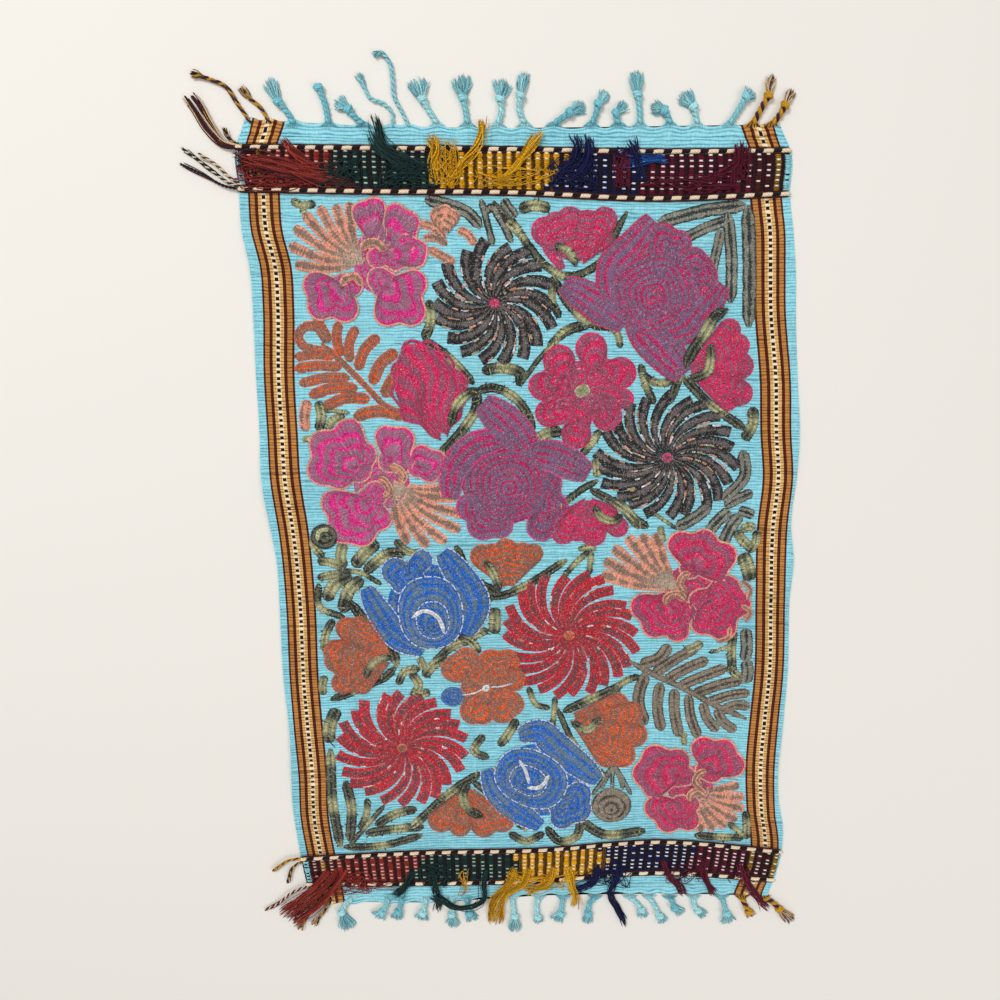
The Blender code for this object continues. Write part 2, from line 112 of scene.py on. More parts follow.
# Loose tails of the bands, and stray yarns among them
TAIL_STEP = 3.3
TAIL_ROOT = 1.5
TAIL_TIP = 4.2
TAIL_YARNS = 19
TAIL_YARN_RADIUS = 0.5
STRAY_TIP = 7.0
STRAY_YARNS = 4
STRAY_RADIUS = 0.36

# Loose yarns that run together
BUNDLE_FLAT = 0.7  # height of a bundle, as a share of its width
BUNDLE_TURN = 0.7  # spread of the yarns' turn around the bundle towards its tip, in radians
YARN_LENGTHS = (0.86, 1.0)
YARN_SHADES = (0.72, 1.15)
YARN_SIZES = (0.85, 1.15)
YARN_CLEARANCE = 0.05  # least gap between a loose yarn and the floor

# Tassels
GATHERED_WARPS = 9
GATHER_REACH = 8.5
GATHERED_RADIUS = 0.75
TASSEL_PLY_LENGTH = 9.0
TASSEL_PLY_RADIUS = 1.65
TASSEL_PLY_OFFSET = 1.45
KNOT_YARN_RADIUS = 1.6
KNOT_LOOPS = ((0.0, 3.1), (2.2, 2.7))  # angle where a loop of the knot starts, and its radius
KNOT_TURNS = 1.3
KNOT_RISE = 0.42  # advance of a loop along the knot in one radian
KNOT_START = -1.8  # place where the loops start along the knot
KNOT_FLAT = 0.75
TUFT_YARNS = 34
TUFT_LENGTHS = (0.8, 1.05)
TUFT_SIZES = (0.45, 0.75)

# Embroidery
BAND_WIDTH = 6.4
THREAD_PITCH = 0.62
STRIP_STEP = 1.25  # distance between points along a band
CURVE_STEP = 1.2  # distance between points of the paths that bands follow
BAND_LIFT = 0.12
BAND_SWELL = 0.34  # height of a band's middle, as a share of its width
SWELL_LIMITS = (0.35, 0.95)
STITCH_OUT = (-0.15, 0.45)  # least and greatest reach of stitches past a band's edges
LEVEL_SCATTER = 0.12
SPLIT_LEAF_WIDTH = 7.6  # leaves that are wider are split along the midrib
LEAF_TAPER = 7  # a leaf is drawn in over one in so many parts of its length
STRAY_SPACING = 4  # points of a leaf's path between two stray stitches
STRAY_REACHES = (0.4, 0.68)  # as shares of the leaf's width
STRAY_WIDTHS = (0.45, 0.75)
DARK_STRAYS = 0.72  # share of the stray stitches that are dark
SHEAF_ENDS = 0.45  # width of a sheaf's ends, as a share of its middle
SHEAF_WAVE = 0.4
ARM_START = 0.08  # place where a wheel's arms start, as a share of their length
ARM_LENGTHS = (0.93, 1.03)
ARM_CURVE = 1.3  # power of its length by which an arm turns
ARM_FILL = 0.98  # share of its room that an arm fills at its start
ARM_TAPER = 0.2  # and how much less at its tip
LEAST_ARM_WIDTH = 1.2
LEAF_MOTTLE = 8.0  # spacing of the pale patches along leaves
CRESCENT_MOTTLE = 9.0  # and along crescents
DARK_FLECKS = 7  # pale flecks on each arm of a dark wheel
RED_FLECKS = 2  # and of a red one

# Widths of the lines of thread along the edges of shapes
BUD_EDGE = 1.5
PETAL_EDGE = 1.7
SHEAF_EDGE = 1.4
RING_EDGE = 1.5
WHITE_EDGE = 0.85
WHITE_STITCH = 4  # points of an edge in one white stitch

# Heights of the embroidery's parts over each other
GROUND_LEVEL = -0.1
PETAL_LEVEL = 0.4
FLECK_LEVEL = 0.4
BUD_LEVEL = 0.5
RAYED_BUD_LEVEL = 0.6
SHEAF_LEVEL = 0.6
RING_LEVEL = 0.9
CRESCENT_LEVEL = 1.6
STRAY_LEVEL = 0.65

# Camera: focal length and middle of the picture in pixels, distance to the cloth and tilt
FOCAL_PIXELS = 751.0
PICTURE_MIDDLE = 500.0
CAMERA_DISTANCE = 720.0
CAMERA_TILT = math.radians(8)
AIM_X = -22.0
AIM_Y = 36.5
SENSOR_WIDTH = 36.0
PICTURE_WIDTH = 1000.0
NEAREST_SEEN = 0.01

# Floor: half its side and its depth under the cloth, in metres
FLOOR_SIDE = 3.0
FLOOR_DEPTH = 0.0002
FLOOR_COLOUR = (0.80, 0.77, 0.72, 1)
WORLD_COLOUR = (1, 0.99, 0.97, 1)
WORLD_LIGHT = 0.5

# Lights: x, y and z in metres, side of the square in metres, watts
LIGHTS = (
    (-1.3, 1.5, 2.7, 1.2, 60.0),
    (1.6, -1.0, 2.2, 1.4, 18.0),
)

# Side edges of the cloth as it lies: along, left, right
EDGES = (
    (-376, -216, 254), (-357, -221, 260), (-325, -226, 266), (-300, -229, 266), (-270, -232, 260),
    (-240, -232, 257), (-190, -232, 260), (-140, -236, 262), (-60, -237, 260), (-20, -238, 261),
    (10, -242, 257), (60, -249, 260), (100, -249, 260), (150, -250, 256), (200, -250, 252),
    (250, -251, 249), (285, -257, 245), (317, -258, 240), (354, -259, 239), (374, -250, 228),
)

# Outer edges of the two side stripes: along, left, right
STRIPES = (
    (-376, -211, 248), (-327, -219, 263), (-280, -225, 257), (-238, -225, 254), (-184, -228, 256),
    (-144, -230, 258), (-60, -231, 256), (10, -235, 254), (60, -241, 257), (100, -242, 253),
    (150, -243, 250), (216, -241, 242), (251, -242, 240), (284, -249, 238), (317, -250, 233),
    (354, -251, 231), (374, -243, 222),
)

# Where six weft lines lie in y at five even places across: along, left, mid left, middle,
# mid right, right
WEFTS = (
    (-376, -383, -382, -374, -372, -374),
    (-357, -362, -361, -358, -349, -357),
    (-325, -334, -327, -324, -315, -326),
    (317, 320, 318, 317, 312, 316),
    (354, 356, 355, 354, 352, 353),
    (374, 379, 374, 372, 373, 375),
)
PLACES_ACROSS = (-1.0, -0.5, 0.0, 0.5, 1.0)

# Low ripples of the side edges: side, middle along the warps, reach along them, height
RIPPLES = (
    (-1, 262, 34, 2.6),
    (-1, 30, 42, 3.0),
    (-1, -215, 50, 2.0),
    (1, 95, 44, 2.4),
    (1, -10, 34, 1.6),
    (1, -225, 38, 2.6),
)
RIPPLE_START = 0.84

# Warp-end tassels: root x on the fringe edge, bend x and y, knot x and y, tip x and y of the tuft,
# and the tuft's half-width, which is 0 where the cord ends in a round head
TOP_TASSELS = (
    (-206, -212, 386, -219, 394, -228, 414, 5),
    (-175, -178, 393, -183, 406, -185, 412, 0),
    (-144, -151, 381, -157, 388, -169, 396, 6),
    (-78, -86, 388, -91, 396, -97, 415, 8),
    (-51, -53, 388, -55, 397, -56, 418, 8),
    (-24, -21, 386, -22, 396, -19, 414, 7),
    (0, -5, 388, -4, 399, 0, 420, 4),
    (26, 32, 380, 40, 385, 54, 393, 5),
    (60, 63, 383, 65, 392, 73, 404, 4),
    (84, 82, 379, 81, 384, 91, 394, 4),
    (103, 102, 390, 100, 400, 98, 421, 6),
    (130, 127, 383, 124, 387, 112, 391, 5),
    (154, 152, 384, 150, 390, 140, 403, 7),
    (183, 190, 387, 196, 398, 203, 405, 5),
    (204, 210, 388, 216, 399, 219, 418, 3),
    (221, 227, 383, 231, 391, 239, 405, 3),
)
BOTTOM_TASSELS = (
    (-174, -181, -384, -186, -393, -179, -415, 5),
    (-137, -140, -387, -144, -393, -150, -402, 5),
    (-123, -125, -387, -127, -392, -129, -404, 4),
    (-98, -100, -388, -102, -394, -105, -404, 5),
    (-72, -71, -388, -72, -395, -70, -413, 4),
    (-56, -55, -388, -54, -394, -49, -405, 4),
    (-9, -8, -388, -7, -397, -7, -418, 4),
    (18, 16, -385, 17, -398, 18, -408, 3),
    (43, 42, -386, 41, -394, 35, -406, 5),
    (76, 71, -383, 69, -394, 68, -408, 3),
    (112, 119, -383, 124, -390, 127, -402, 3),
    (132, 136, -383, 143, -397, 149, -407, 3),
    (153, 155, -380, 158, -388, 168, -397, 3),
    (178, 178, -383, 182, -391, 191, -400, 3),
    (207, 210, -386, 212, -394, 216, -408, 5),
    (228, 231, -385, 235, -392, 240, -400, 3),
    (250, 259, -382, 266, -389, 282, -406, 3),
)

# Fringe cords with no knot, as points (x, y) on the floor, root first
TOP_LOOSE_CORDS = (
    ((-118, 373), (-119, 387), (-126, 393), (-138, 398), (-142, 405), (-148, 418)),
    ((-103, 373), (-110, 387), (-116, 399), (-117, 413), (-120, 428), (-127, 435), (-135, 434)),
    ((-244, 376), (-255, 392), (-265, 407), (-279, 413), (-296, 418)),
    ((-227, 376), (-236, 390), (-245, 398), (-252, 407)),
)
BOTTOM_LOOSE_CORDS = (
    ((-206, -379), (-213, -388), (-221, -398), (-232, -413)),
    ((-196, -379), (-202, -390), (-210, -400), (-217, -408)),
)

# Loose tails of the brocade yarns, as points (x, y, z)
TOP_BROCADE_TAILS = (
    ((-160, 326, 3.5), (-190, 332, 5.1), (-225, 338, 5.1), (-262, 350, 4.4)),
    ((-172, 328, 3.5), (-198, 337, 5.1), (-232, 345, 5.1), (-252, 345, 4.2)),
    ((-150, 324, 3.5), (-180, 326, 4.4), (-215, 331, 5.1), (-246, 336, 5.1)),
    ((-184, 334, 3.5), (-199, 346, 5.1), (-209, 354, 7.4), (-217, 364, 4.1)),
    ((-88, 330, 3.5), (-112, 340, 5.1), (-130, 355, 7.6), (-138, 372, 4.1)),
    ((-80, 336, 3.5), (-106, 345, 5.1), (-123, 355, 7.6), (-134, 385, 2.2)),
    ((-81, 323, 3.5), (-83, 340, 5.1), (-79, 355, 7.6), (-86, 365, 4.1)),
    ((-72, 323, 3.5), (-55, 342, 5.1), (-43, 355, 7.6), (-37, 383, 2.2)),
    ((-28, 323, 3.5), (-8, 340, 5.1), (4, 354, 7.6), (15, 370, 4.1)),
    ((22, 323, 3.5), (40, 340, 5.1), (47, 353, 7.6), (45, 367, 4.1)),
    ((38, 323, 3.5), (54, 340, 5.1), (57, 353, 7.6), (56, 368, 4.1)),
    ((108, 326, 3.5), (102, 340, 5.1), (98, 352, 7.6), (95, 364, 4.1)),
    ((150, 323, 3.5), (176, 333, 5.1), (190, 342, 5.1), (191, 352, 7.6), (192, 361, 4.1)),
)
BOTTOM_BROCADE_TAILS = (
    ((-198, -345, 3.5), (-209, -360, 7.6), (-230, -380, 5.1), (-250, -397, 2.4)),
    ((-188, -345, 3.5), (-200, -361, 7.6), (-222, -383, 7.2), (-243, -403, 2.4)),
    ((-177, -345, 3.5), (-190, -361, 7.6), (-208, -381, 8.0), (-228, -397, 7.2), (-238, -409, 2.6)),
    ((-112, -344, 3.5), (-118, -360, 7.6), (-127, -371, 4.4), (-134, -375, 4.3)),
    ((-92, -344, 3.5), (-89, -360, 7.6), (-86, -376, 4.4), (-87, -394, 2.2)),
    ((-36, -344, 3.5), (-39, -358, 7.6), (-40, -378, 6.6), (-54, -384, 8.6), (-70, -384, 8.6),
     (-82, -379, 5.4), (-96, -371, 4.2)),
    ((-6, -343, 3.5), (-13, -358, 7.6), (-26, -377, 4.2), (-31, -410, 2.2)),
    ((8, -343, 3.5), (3, -357, 7.6), (-16, -374, 5.1), (-22, -410, 2.2)),
    ((34, -342, 3.5), (29, -356, 7.6), (16, -365, 4.4), (4, -370, 4.2)),
    ((46, -341, 3.5), (49, -355, 7.6), (55, -374, 4.2), (54, -391, 2.2)),
    ((78, -339, 3.5), (75, -354, 7.6), (62, -365, 4.3), (49, -369, 4.2)),
    ((100, -338, 3.5), (97, -353, 7.6), (91, -372, 4.2), (99, -389, 2.4), (110, -411, 2.2)),
    ((146, -334, 3.5), (150, -350, 7.6), (161, -363, 4.4), (168, -376, 4.2)),
    ((183, -334, 3.5), (187, -350, 7.6), (194, -365, 4.4), (200, -374, 4.2)),
    ((222, -338, 3.5), (229, -354, 7.6), (241, -374, 4.4), (255, -391, 2.4)),
)

# Left ends of the weft cords' yarns, as points (x, y, z)
TOP_OUTER_ENDS = (
    ((-252, 356, 3.7), (-268, 361, 3.6), (-280, 376, 2.4), (-291, 396, 2.4), (-297, 403, 2.4)),
    ((-253, 355, 3.6), (-270, 357, 3.6), (-284, 370, 2.4), (-297, 390, 2.4), (-304, 399, 2.4)),
    ((-250, 356, 3.8), (-263, 362, 3.6), (-269, 373, 2.4)),
)
TOP_INNER_ENDS = (
    ((-250, 320, 3.7), (-267, 326, 3.6), (-280, 335, 2.4), (-294, 346, 2.4), (-308, 356, 2.4)),
    ((-248, 320, 3.8), (-265, 330, 3.6), (-277, 341, 2.4), (-293, 351, 2.4)),
    ((-251, 319, 3.6), (-271, 323, 3.6), (-290, 333, 2.4), (-310, 342, 2.4)),
)
BOTTOM_INNER_ENDS = (
    ((-219, -333, 3.7), (-237, -335, 3.6), (-256, -348, 2.4)),
    ((-217, -333, 3.6), (-233, -342, 3.5), (-241, -362, 2.4)),
)
BOTTOM_OUTER_ENDS = (
    ((-214, -362, 3.7), (-234, -370, 3.6), (-254, -386, 2.4), (-266, -392, 2.4)),
)


def smooth(values, stations, heights):
    """Heights at the values of the smooth curve through the stations."""
    stations = np.asarray(stations, dtype=float)
    heights = np.asarray(heights, dtype=float)
    slopes = np.gradient(heights, stations)
    values = np.clip(values, stations[0], stations[-1])
    cell = np.clip(np.searchsorted(stations, values, side="right") - 1, 0, len(stations) - 2)
    width = stations[cell + 1] - stations[cell]
    part = (values - stations[cell]) / width
    rest = 1 - part
    start = (1 + 2 * part) * rest**2 * heights[cell] + part * rest**2 * width * slopes[cell]
    end = part**2 * (3 - 2 * part) * heights[cell + 1] - part**2 * rest * width * slopes[cell + 1]
    return start + end


def side_lines(table, along):
    """The left and right columns of a side table at places along the warps."""
    stations, left, right = np.array(table, dtype=float).T
    return smooth(along, stations, left), smooth(along, stations, right)


def lift(across, along):
    """How far the cloth stands off the floor at its rippled side edges."""
    total = np.zeros(np.broadcast(across, along).shape)
    for side, middle, reach, height in RIPPLES:
        rise = np.clip((side * across - RIPPLE_START) / (1 - RIPPLE_START), 0, None)
        total = total + height * rise**2 * np.exp(-((along - middle) / reach) ** 2)
    return total


def pucker(x, y):
    """Shallow unevenness of the embroidered cloth."""
    return 0.22 * (np.sin(x / 17 + 2 * np.sin(y / 41)) + np.sin(y / 23 + 1.7 * np.sin(x / 37)))


def place(across, along, above=0.0):
    """Points of the laid cloth; across runs from -1, left edge, to 1, right edge."""
    across, along, above = np.broadcast_arrays(
        np.asarray(across, dtype=float), np.asarray(along, dtype=float), above)
    left, right = side_lines(EDGES, along)
    x = left + (right - left) * (across + 1) / 2
    stations = np.array([row[0] for row in WEFTS], dtype=float)
    lines = np.array([smooth(across, PLACES_ACROSS, row[1:]) for row in WEFTS])
    cell = np.clip(np.searchsorted(stations, along, side="right") - 1, 0, len(WEFTS) - 2)
    low = np.take_along_axis(lines, cell[None], 0)[0]
    high = np.take_along_axis(lines, cell[None] + 1, 0)[0]
    part = np.clip((along - stations[cell]) / (stations[cell + 1] - stations[cell]), 0, 1)
    y = low + (high - low) * part
    return np.stack((x, y, lift(across, along) + above), axis=-1)


def across_at(x, along):
    """Place across the cloth, from -1 to 1, of a point at x."""
    left, right = side_lines(EDGES, along)
    return 2 * (x - left) / (right - left) - 1


def cloth_top(x, y):
    """Height of the cloth's upper face at points on it."""
    return CLOTH_THICKNESS + lift(across_at(x, y), y) + pucker(x, y)


def on_cloth(u, v):
    """Place on the cloth that shows at a pixel of the photograph's frame."""
    u, v = np.broadcast_arrays(np.asarray(u, dtype=float), np.asarray(v, dtype=float))
    right = u - PICTURE_MIDDLE
    down = v - PICTURE_MIDDLE
    sine, cosine = math.sin(CAMERA_TILT), math.cos(CAMERA_TILT)
    reach = CAMERA_DISTANCE * cosine / (FOCAL_PIXELS * cosine - down * sine)
    x = AIM_X + reach * right
    y = AIM_Y + CAMERA_DISTANCE * sine - reach * (down * cosine + FOCAL_PIXELS * sine)
    return np.stack((x, y), axis=-1)


def linear(*colour):
    """Linear colour of a display colour with parts from 0 to 255."""
    parts = np.array(colour, dtype=float) / 255
    return np.where(parts <= 0.04045, parts / 12.92, ((parts + 0.055) / 1.055) ** 2.4)


class Mesh:
    """Points, four-sided faces and thread data of one piece, gathered from many strands."""

    def __init__(self):
        self.points = []
        self.faces = []
        self.colours = []
        self.runs = []
        self.turns = []
        self.count = 0

    def add(self, points, faces, colours, runs, turns):
        """A strand or patch: points in millimetres, a colour, run and turn for each point."""
        points = np.asarray(points, dtype=float).reshape(-1, 3)
        self.points.append(points)
        self.faces.append(np.asarray(faces).reshape(-1, 4) + self.count)
        self.colours.append(np.broadcast_to(colours, (len(points), 3)))
        self.runs.append(np.broadcast_to(runs, len(points)))
        self.turns.append(np.broadcast_to(turns, len(points)))
        self.count += len(points)

    def make(self, name, material, body_slot, *nodes):
        """The piece as a smooth mesh object that rides on the root and replaces the nodes."""
        points = np.concatenate(self.points) * MM
        faces = np.concatenate(self.faces)
        mesh = bpy.data.meshes.new(name)
        mesh.vertices.add(len(points))
        mesh.vertices.foreach_set("co", points.ravel())
        mesh.loops.add(faces.size)
        mesh.loops.foreach_set("vertex_index", faces.ravel())
        mesh.polygons.add(len(faces))
        mesh.polygons.foreach_set("loop_start", np.arange(len(faces)) * 4)
        mesh.update(calc_edges=True)
        mesh.shade_smooth()
        colours = np.concatenate(self.colours)
        shown = np.column_stack((np.clip(colours, 0, 1), np.ones(len(colours))))
        thread = mesh.color_attributes.new("thread", "FLOAT_COLOR", "POINT")
        thread.data.foreach_set("color", shown.ravel())
        for attribute, values in (("run", self.runs), ("turn", self.turns)):
            data = mesh.attributes.new(attribute, "FLOAT", "POINT")
            data.data.foreach_set("value", np.concatenate(values))
        mesh.materials.append(material)
        piece = bpy.data.objects.new(name, mesh)
        bpy.context.scene.collection.objects.link(piece)
        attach(piece, "root")
        if nodes:
            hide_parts(*nodes)
        return piece


def grid_faces(rows, columns):
    """Faces of a grid of points, row after row."""
    first = np.arange(rows - 1)[:, None] * columns + np.arange(columns - 1)
    return np.stack((first, first + 1, first + columns + 1, first + columns), axis=-1)


def lengths_along(path):
    """Length of a path from its start to each of its points."""
    return np.concatenate(([0.0], np.cumsum(np.linalg.norm(np.diff(path, axis=0), axis=1))))


def curve_through(points, step):
    """Even steps along the smooth curve through the points."""
    points = np.asarray(points, dtype=float)
    reached = lengths_along(points)
    steps = max(2, round(reached[-1] / step))
    stations = np.linspace(0, reached[-1], steps + 1)
    columns = [smooth(stations, reached, column) for column in points.T]
    return np.stack(columns, axis=1)


def unit(vectors):
    """Vectors of length one."""
    return vectors / np.maximum(np.linalg.norm(vectors, axis=-1, keepdims=True), 1e-9)


def axes_along(path):
    """Side and upward directions at each point of a path."""
    tangent = unit(np.gradient(path, axis=0))
    side = unit(np.cross(tangent, (0.0, 0.0, 1.0)))
    return side, np.cross(side, tangent)


def tube(mesh, path, radius, colour, sides=6):
    """A closed round strand along a path, with its seam underneath."""
    path = np.asarray(path, dtype=float)
    radius = np.broadcast_to(radius, len(path)).astype(float).copy()
    radius[[0, -1]] *= 0.15
    side, up = axes_along(path)
    angles = 2 * np.pi * np.arange(sides + 1) / sides - np.pi / 2
    spread = np.cos(angles)[:, None] * side[:, None] + np.sin(angles)[:, None] * up[:, None]
    points = path[:, None] + radius[:, None, None] * spread
    runs = np.repeat(lengths_along(path), sides + 1)
    turns = np.tile(np.arange(sides + 1) / sides, len(path))
    mesh.add(points, grid_faces(len(path), sides + 1), colour, runs, turns)


def wound(path, offset, pitch, phase):
    """A path that winds around another, as one ply of a cord does."""
    side, up = axes_along(path)
    angle = (2 * np.pi * (lengths_along(path) / pitch + phase))[:, None]
    return path + offset * (np.cos(angle) * side + np.sin(angle) * up)


def join(tree, value, socket):
    """Link a socket to another, or set it to a value."""
    if isinstance(value, bpy.types.NodeSocket):
        tree.links.new(value, socket)
    else:
        socket.default_value = value


def maths(tree, operation, *values):
    """A maths node's result."""
    node = tree.nodes.new("ShaderNodeMath")
    node.operation = operation
    for socket, value in zip(node.inputs, values):
        join(tree, value, socket)
    return node.outputs[0]


def blend(tree, factor, first, second, kind="MIX"):
    """Colour of two mixed by a factor, through the node's colour sockets."""
    node = tree.nodes.new("ShaderNodeMix")
    node.data_type = "RGBA"
    node.blend_type = kind
    for number, value in ((0, factor), (6, first), (7, second)):
        if isinstance(value, np.ndarray):
            value = (*value, 1.0)
        join(tree, value, node.inputs[number])
    return node.outputs[2]


def read(tree, name, output="Fac"):
    """Values of a mesh attribute."""
    node = tree.nodes.new("ShaderNodeAttribute")
    node.attribute_name = name
    return node.outputs[output]


def noise(tree, scale, stretch=(1, 1, 1), detail=2.0):
    """Noise in the object's own space, from 0 to 1."""
    where = tree.nodes.new("ShaderNodeTexCoord")
    mapping = tree.nodes.new("ShaderNodeMapping")
    mapping.inputs["Scale"].default_value = stretch
    tree.links.new(where.outputs["Object"], mapping.inputs["Vector"])
    node = tree.nodes.new("ShaderNodeTexNoise")
    node.inputs["Scale"].default_value = scale
    node.inputs["Detail"].default_value = detail
    tree.links.new(mapping.outputs["Vector"], node.inputs["Vector"])
    return node.outputs["Fac"]


def spread_over(tree, value, low, high, from_low=0.0, from_high=1.0):
    """A value brought from one range to another."""
    node = tree.nodes.new("ShaderNodeMapRange")
    for socket, given in zip(node.inputs, (value, from_low, from_high, low, high)):
        join(tree, given, socket)
    return node.outputs[0]


def finish_of(name, roughness, specular, sheen, colour, height, depth):
    """A yarn material with a colour, a bump height and the bump's depth in millimetres."""
    made = bpy.data.materials.new(name)
    made.use_nodes = True
    tree = made.node_tree
    shader = tree.nodes["Principled BSDF"]
    shader.inputs["Roughness"].default_value = roughness
    shader.inputs["Specular IOR Level"].default_value = specular
    shader.inputs["Sheen Weight"].default_value = sheen
    shader.inputs["Sheen Roughness"].default_value = 0.5
    bump = tree.nodes.new("ShaderNodeBump")
    bump.inputs["Strength"].default_value = 1.0
    bump.inputs["Distance"].default_value = depth * MM
    tree.links.new(height(tree), bump.inputs["Height"])
    tree.links.new(colour(tree), shader.inputs["Base Color"])
    tree.links.new(bump.outputs["Normal"], shader.inputs["Normal"])
    return made


def grey(tree, value):
    """A value as a colour."""
    node = tree.nodes.new("ShaderNodeCombineColor")
    for socket in node.inputs:
        join(tree, value, socket)
    return node.outputs[0]


def yarn(name, roughness, specular, sheen, fibres, fibre_length, depth, grain):
    """Twisted yarn in its threads' own colours, its fibres slanted along each strand."""

    def fibre(tree):
        around = maths(tree, "MULTIPLY", read(tree, "turn"), fibres)
        along = maths(tree, "DIVIDE", read(tree, "run"), fibre_length)
        angle = maths(tree, "MULTIPLY", maths(tree, "ADD", around, along), 2 * math.pi)
        return spread_over(tree, maths(tree, "SINE", angle), 0.0, 1.0, -1.0, 1.0)

    def height(tree):
        return maths(tree, "ADD", fibre(tree), noise(tree, grain))

    def colour(tree):
        # The fibre wave darkens the grooves of the twist as painted shade; noise varies the yarn's
        # tone at random
        shade = maths(tree, "MULTIPLY", spread_over(tree, fibre(tree), 0.72, 1.05),
                      spread_over(tree, noise(tree, grain), 0.7, 1.25, 0.2, 0.8))
        return blend(tree, 1.0, read(tree, "thread", "Color"), grey(tree, shade), "MULTIPLY")

    return finish_of(name, roughness, specular, sheen, colour, height, depth)


# Colours of the yarns
BLUE_TOP = linear(150, 216, 228)
# Painted shade for the hollows between the ground's ribs, in the blue ground and in the side
# stripes
PAINTED_BLUE_SHADE = linear(120, 166, 184)
PAINTED_BROWN_SHADE = linear(126, 84, 62)
MAROON = linear(66, 10, 18)
BLACK = linear(14, 10, 12)
CORD_DARK = linear(24, 10, 14)
# Painted shadow under the brocade floats
BAND_SHADOW = linear(30, 8, 14)
WARP_DARK = linear(24, 6, 12)
CREAM = linear(255, 230, 196)
GOLD = linear(228, 166, 14)
STRAW = linear(222, 180, 104)
OCHRE = linear(192, 134, 66)
BROWN = linear(84, 26, 22)
RUSSET = linear(142, 42, 32)
DARK_GREEN = linear(10, 50, 48)
NAVY = linear(8, 18, 72)
PLUM = linear(100, 8, 42)
WHITE = linear(238, 236, 230)
DUSTY_PINK = linear(226, 178, 170)
PALE_GREEN = linear(176, 190, 172)
CLEAR_BLUE = linear(10, 92, 176)

# Colours across a side stripe, by the share of its width where each starts, outer to inner
STRIPE_COLOURS = (
    (0.0, BROWN), (0.06, OCHRE), (0.20, BROWN), (0.30, STRAW), (0.40, CREAM), (0.56, STRAW),
    (0.66, BROWN), (0.77, OCHRE), (0.93, BROWN),
)

# The checked middle column of a stripe, as shares of its width
CHECK_MIDDLE = 0.48
CHECK_HALF_WIDTH = 0.058

# Least and greatest share of a stripe that its colour ramp reaches
RAMP_LOW = -0.1
RAMP_HIGH = 1.1


def ground_finish():
    """Ribbed light-blue cotton with warp stripes; run is the distance into a stripe from its
    outer edge, and turn counts the ribs."""

    def phase(tree):
        waver = spread_over(tree, noise(tree, 60.0, (1.0, 3.0, 1.0)), -0.22, 0.22, 0.3, 0.7)
        return maths(tree, "FRACT", maths(tree, "ADD", read(tree, "turn"), waver))

    # Painted shade: one in the hollows between the ribs, none on their tops
    def painted_hollow_shade(tree):
        wave = maths(tree, "COSINE", maths(tree, "MULTIPLY", phase(tree), 2 * math.pi))
        return maths(tree, "POWER", spread_over(tree, wave, 0.0, 1.0, -1.0, 1.0), 2.4)

    def height(tree):
        threads = noise(tree, 900.0, (1.0, 0.1, 0.1))
        return maths(tree, "ADD", threads, maths(tree, "MULTIPLY", noise(tree, 1700.0), 0.4))

    def colour(tree):
        share = maths(tree, "DIVIDE", read(tree, "run"), STRIPE_WIDTH)
        ramp = tree.nodes.new("ShaderNodeValToRGB")
        ramp.color_ramp.interpolation = "CONSTANT"
        tree.links.new(spread_over(tree, share, 0.0, 1.0, RAMP_LOW, RAMP_HIGH),
                       ramp.inputs["Fac"])
        points = ramp.color_ramp.elements
        points.remove(points[1])
        points[0].position = 0.0
        points[0].color = (*BLUE_TOP, 1)
        for start, shown in STRIPE_COLOURS + ((1.0, BLUE_TOP),):
            point = points.new((start - RAMP_LOW) / (RAMP_HIGH - RAMP_LOW))
            point.color = (*shown, 1)
        pair = maths(tree, "FRACT", maths(tree, "MULTIPLY", read(tree, "turn"), 0.5))
        black_rib = maths(tree, "GREATER_THAN", pair, 0.5)
        off_middle = maths(tree, "ABSOLUTE", maths(tree, "SUBTRACT", share, CHECK_MIDDLE))
        in_column = maths(tree, "LESS_THAN", off_middle, CHECK_HALF_WIDTH)
        check = maths(tree, "MULTIPLY", black_rib, in_column)
        striped = blend(tree, check, ramp.outputs["Color"], BLACK)
        streaks = spread_over(tree, noise(tree, 1500.0, (1.0, 0.012, 0.1)), 0.9, 1.08, 0.25, 0.75)
        flecks = spread_over(tree, noise(tree, 700.0, (1.0, 0.35, 1.0)), 0.86, 1.14, 0.25, 0.75)
        bars = spread_over(tree, noise(tree, 330.0, (0.03, 1.0, 0.1)), 0.92, 1.07, 0.3, 0.7)
        patches = spread_over(tree, noise(tree, 14.0), 0.92, 1.07, 0.3, 0.7)
        shade = maths(tree, "MULTIPLY", maths(tree, "MULTIPLY", streaks, flecks),
                      maths(tree, "MULTIPLY", bars, patches))
        lit = blend(tree, 1.0, striped, grey(tree, shade), "MULTIPLY")
        # Painted shade in the rib hollows: the colour is multiplied by a darker blue, or a darker
        # brown in the stripes, by a share that noise varies
        from_middle = maths(tree, "ABSOLUTE", maths(tree, "SUBTRACT", share, 0.5))
        in_stripe = maths(tree, "LESS_THAN", from_middle, 0.5)
        tone = blend(tree, in_stripe, PAINTED_BLUE_SHADE, PAINTED_BROWN_SHADE)
        dim = blend(tree, 1.0, lit, tone, "MULTIPLY")
        depth = spread_over(tree, noise(tree, 180.0, (0.4, 1.0, 1.0)), 0.45, 1.0, 0.3, 0.7)
        return blend(tree, maths(tree, "MULTIPLY", painted_hollow_shade(tree), depth), lit, dim)

    return finish_of("ground cloth", roughness=0.9, specular=0.15, sheen=0.15, colour=colour,
                     height=height, depth=0.35)


def stripe_inset(x, along):
    """Distance into the nearer side stripe from its outer edge."""
    left, right = side_lines(STRIPES, along)
    return np.minimum(x - left, right - x)


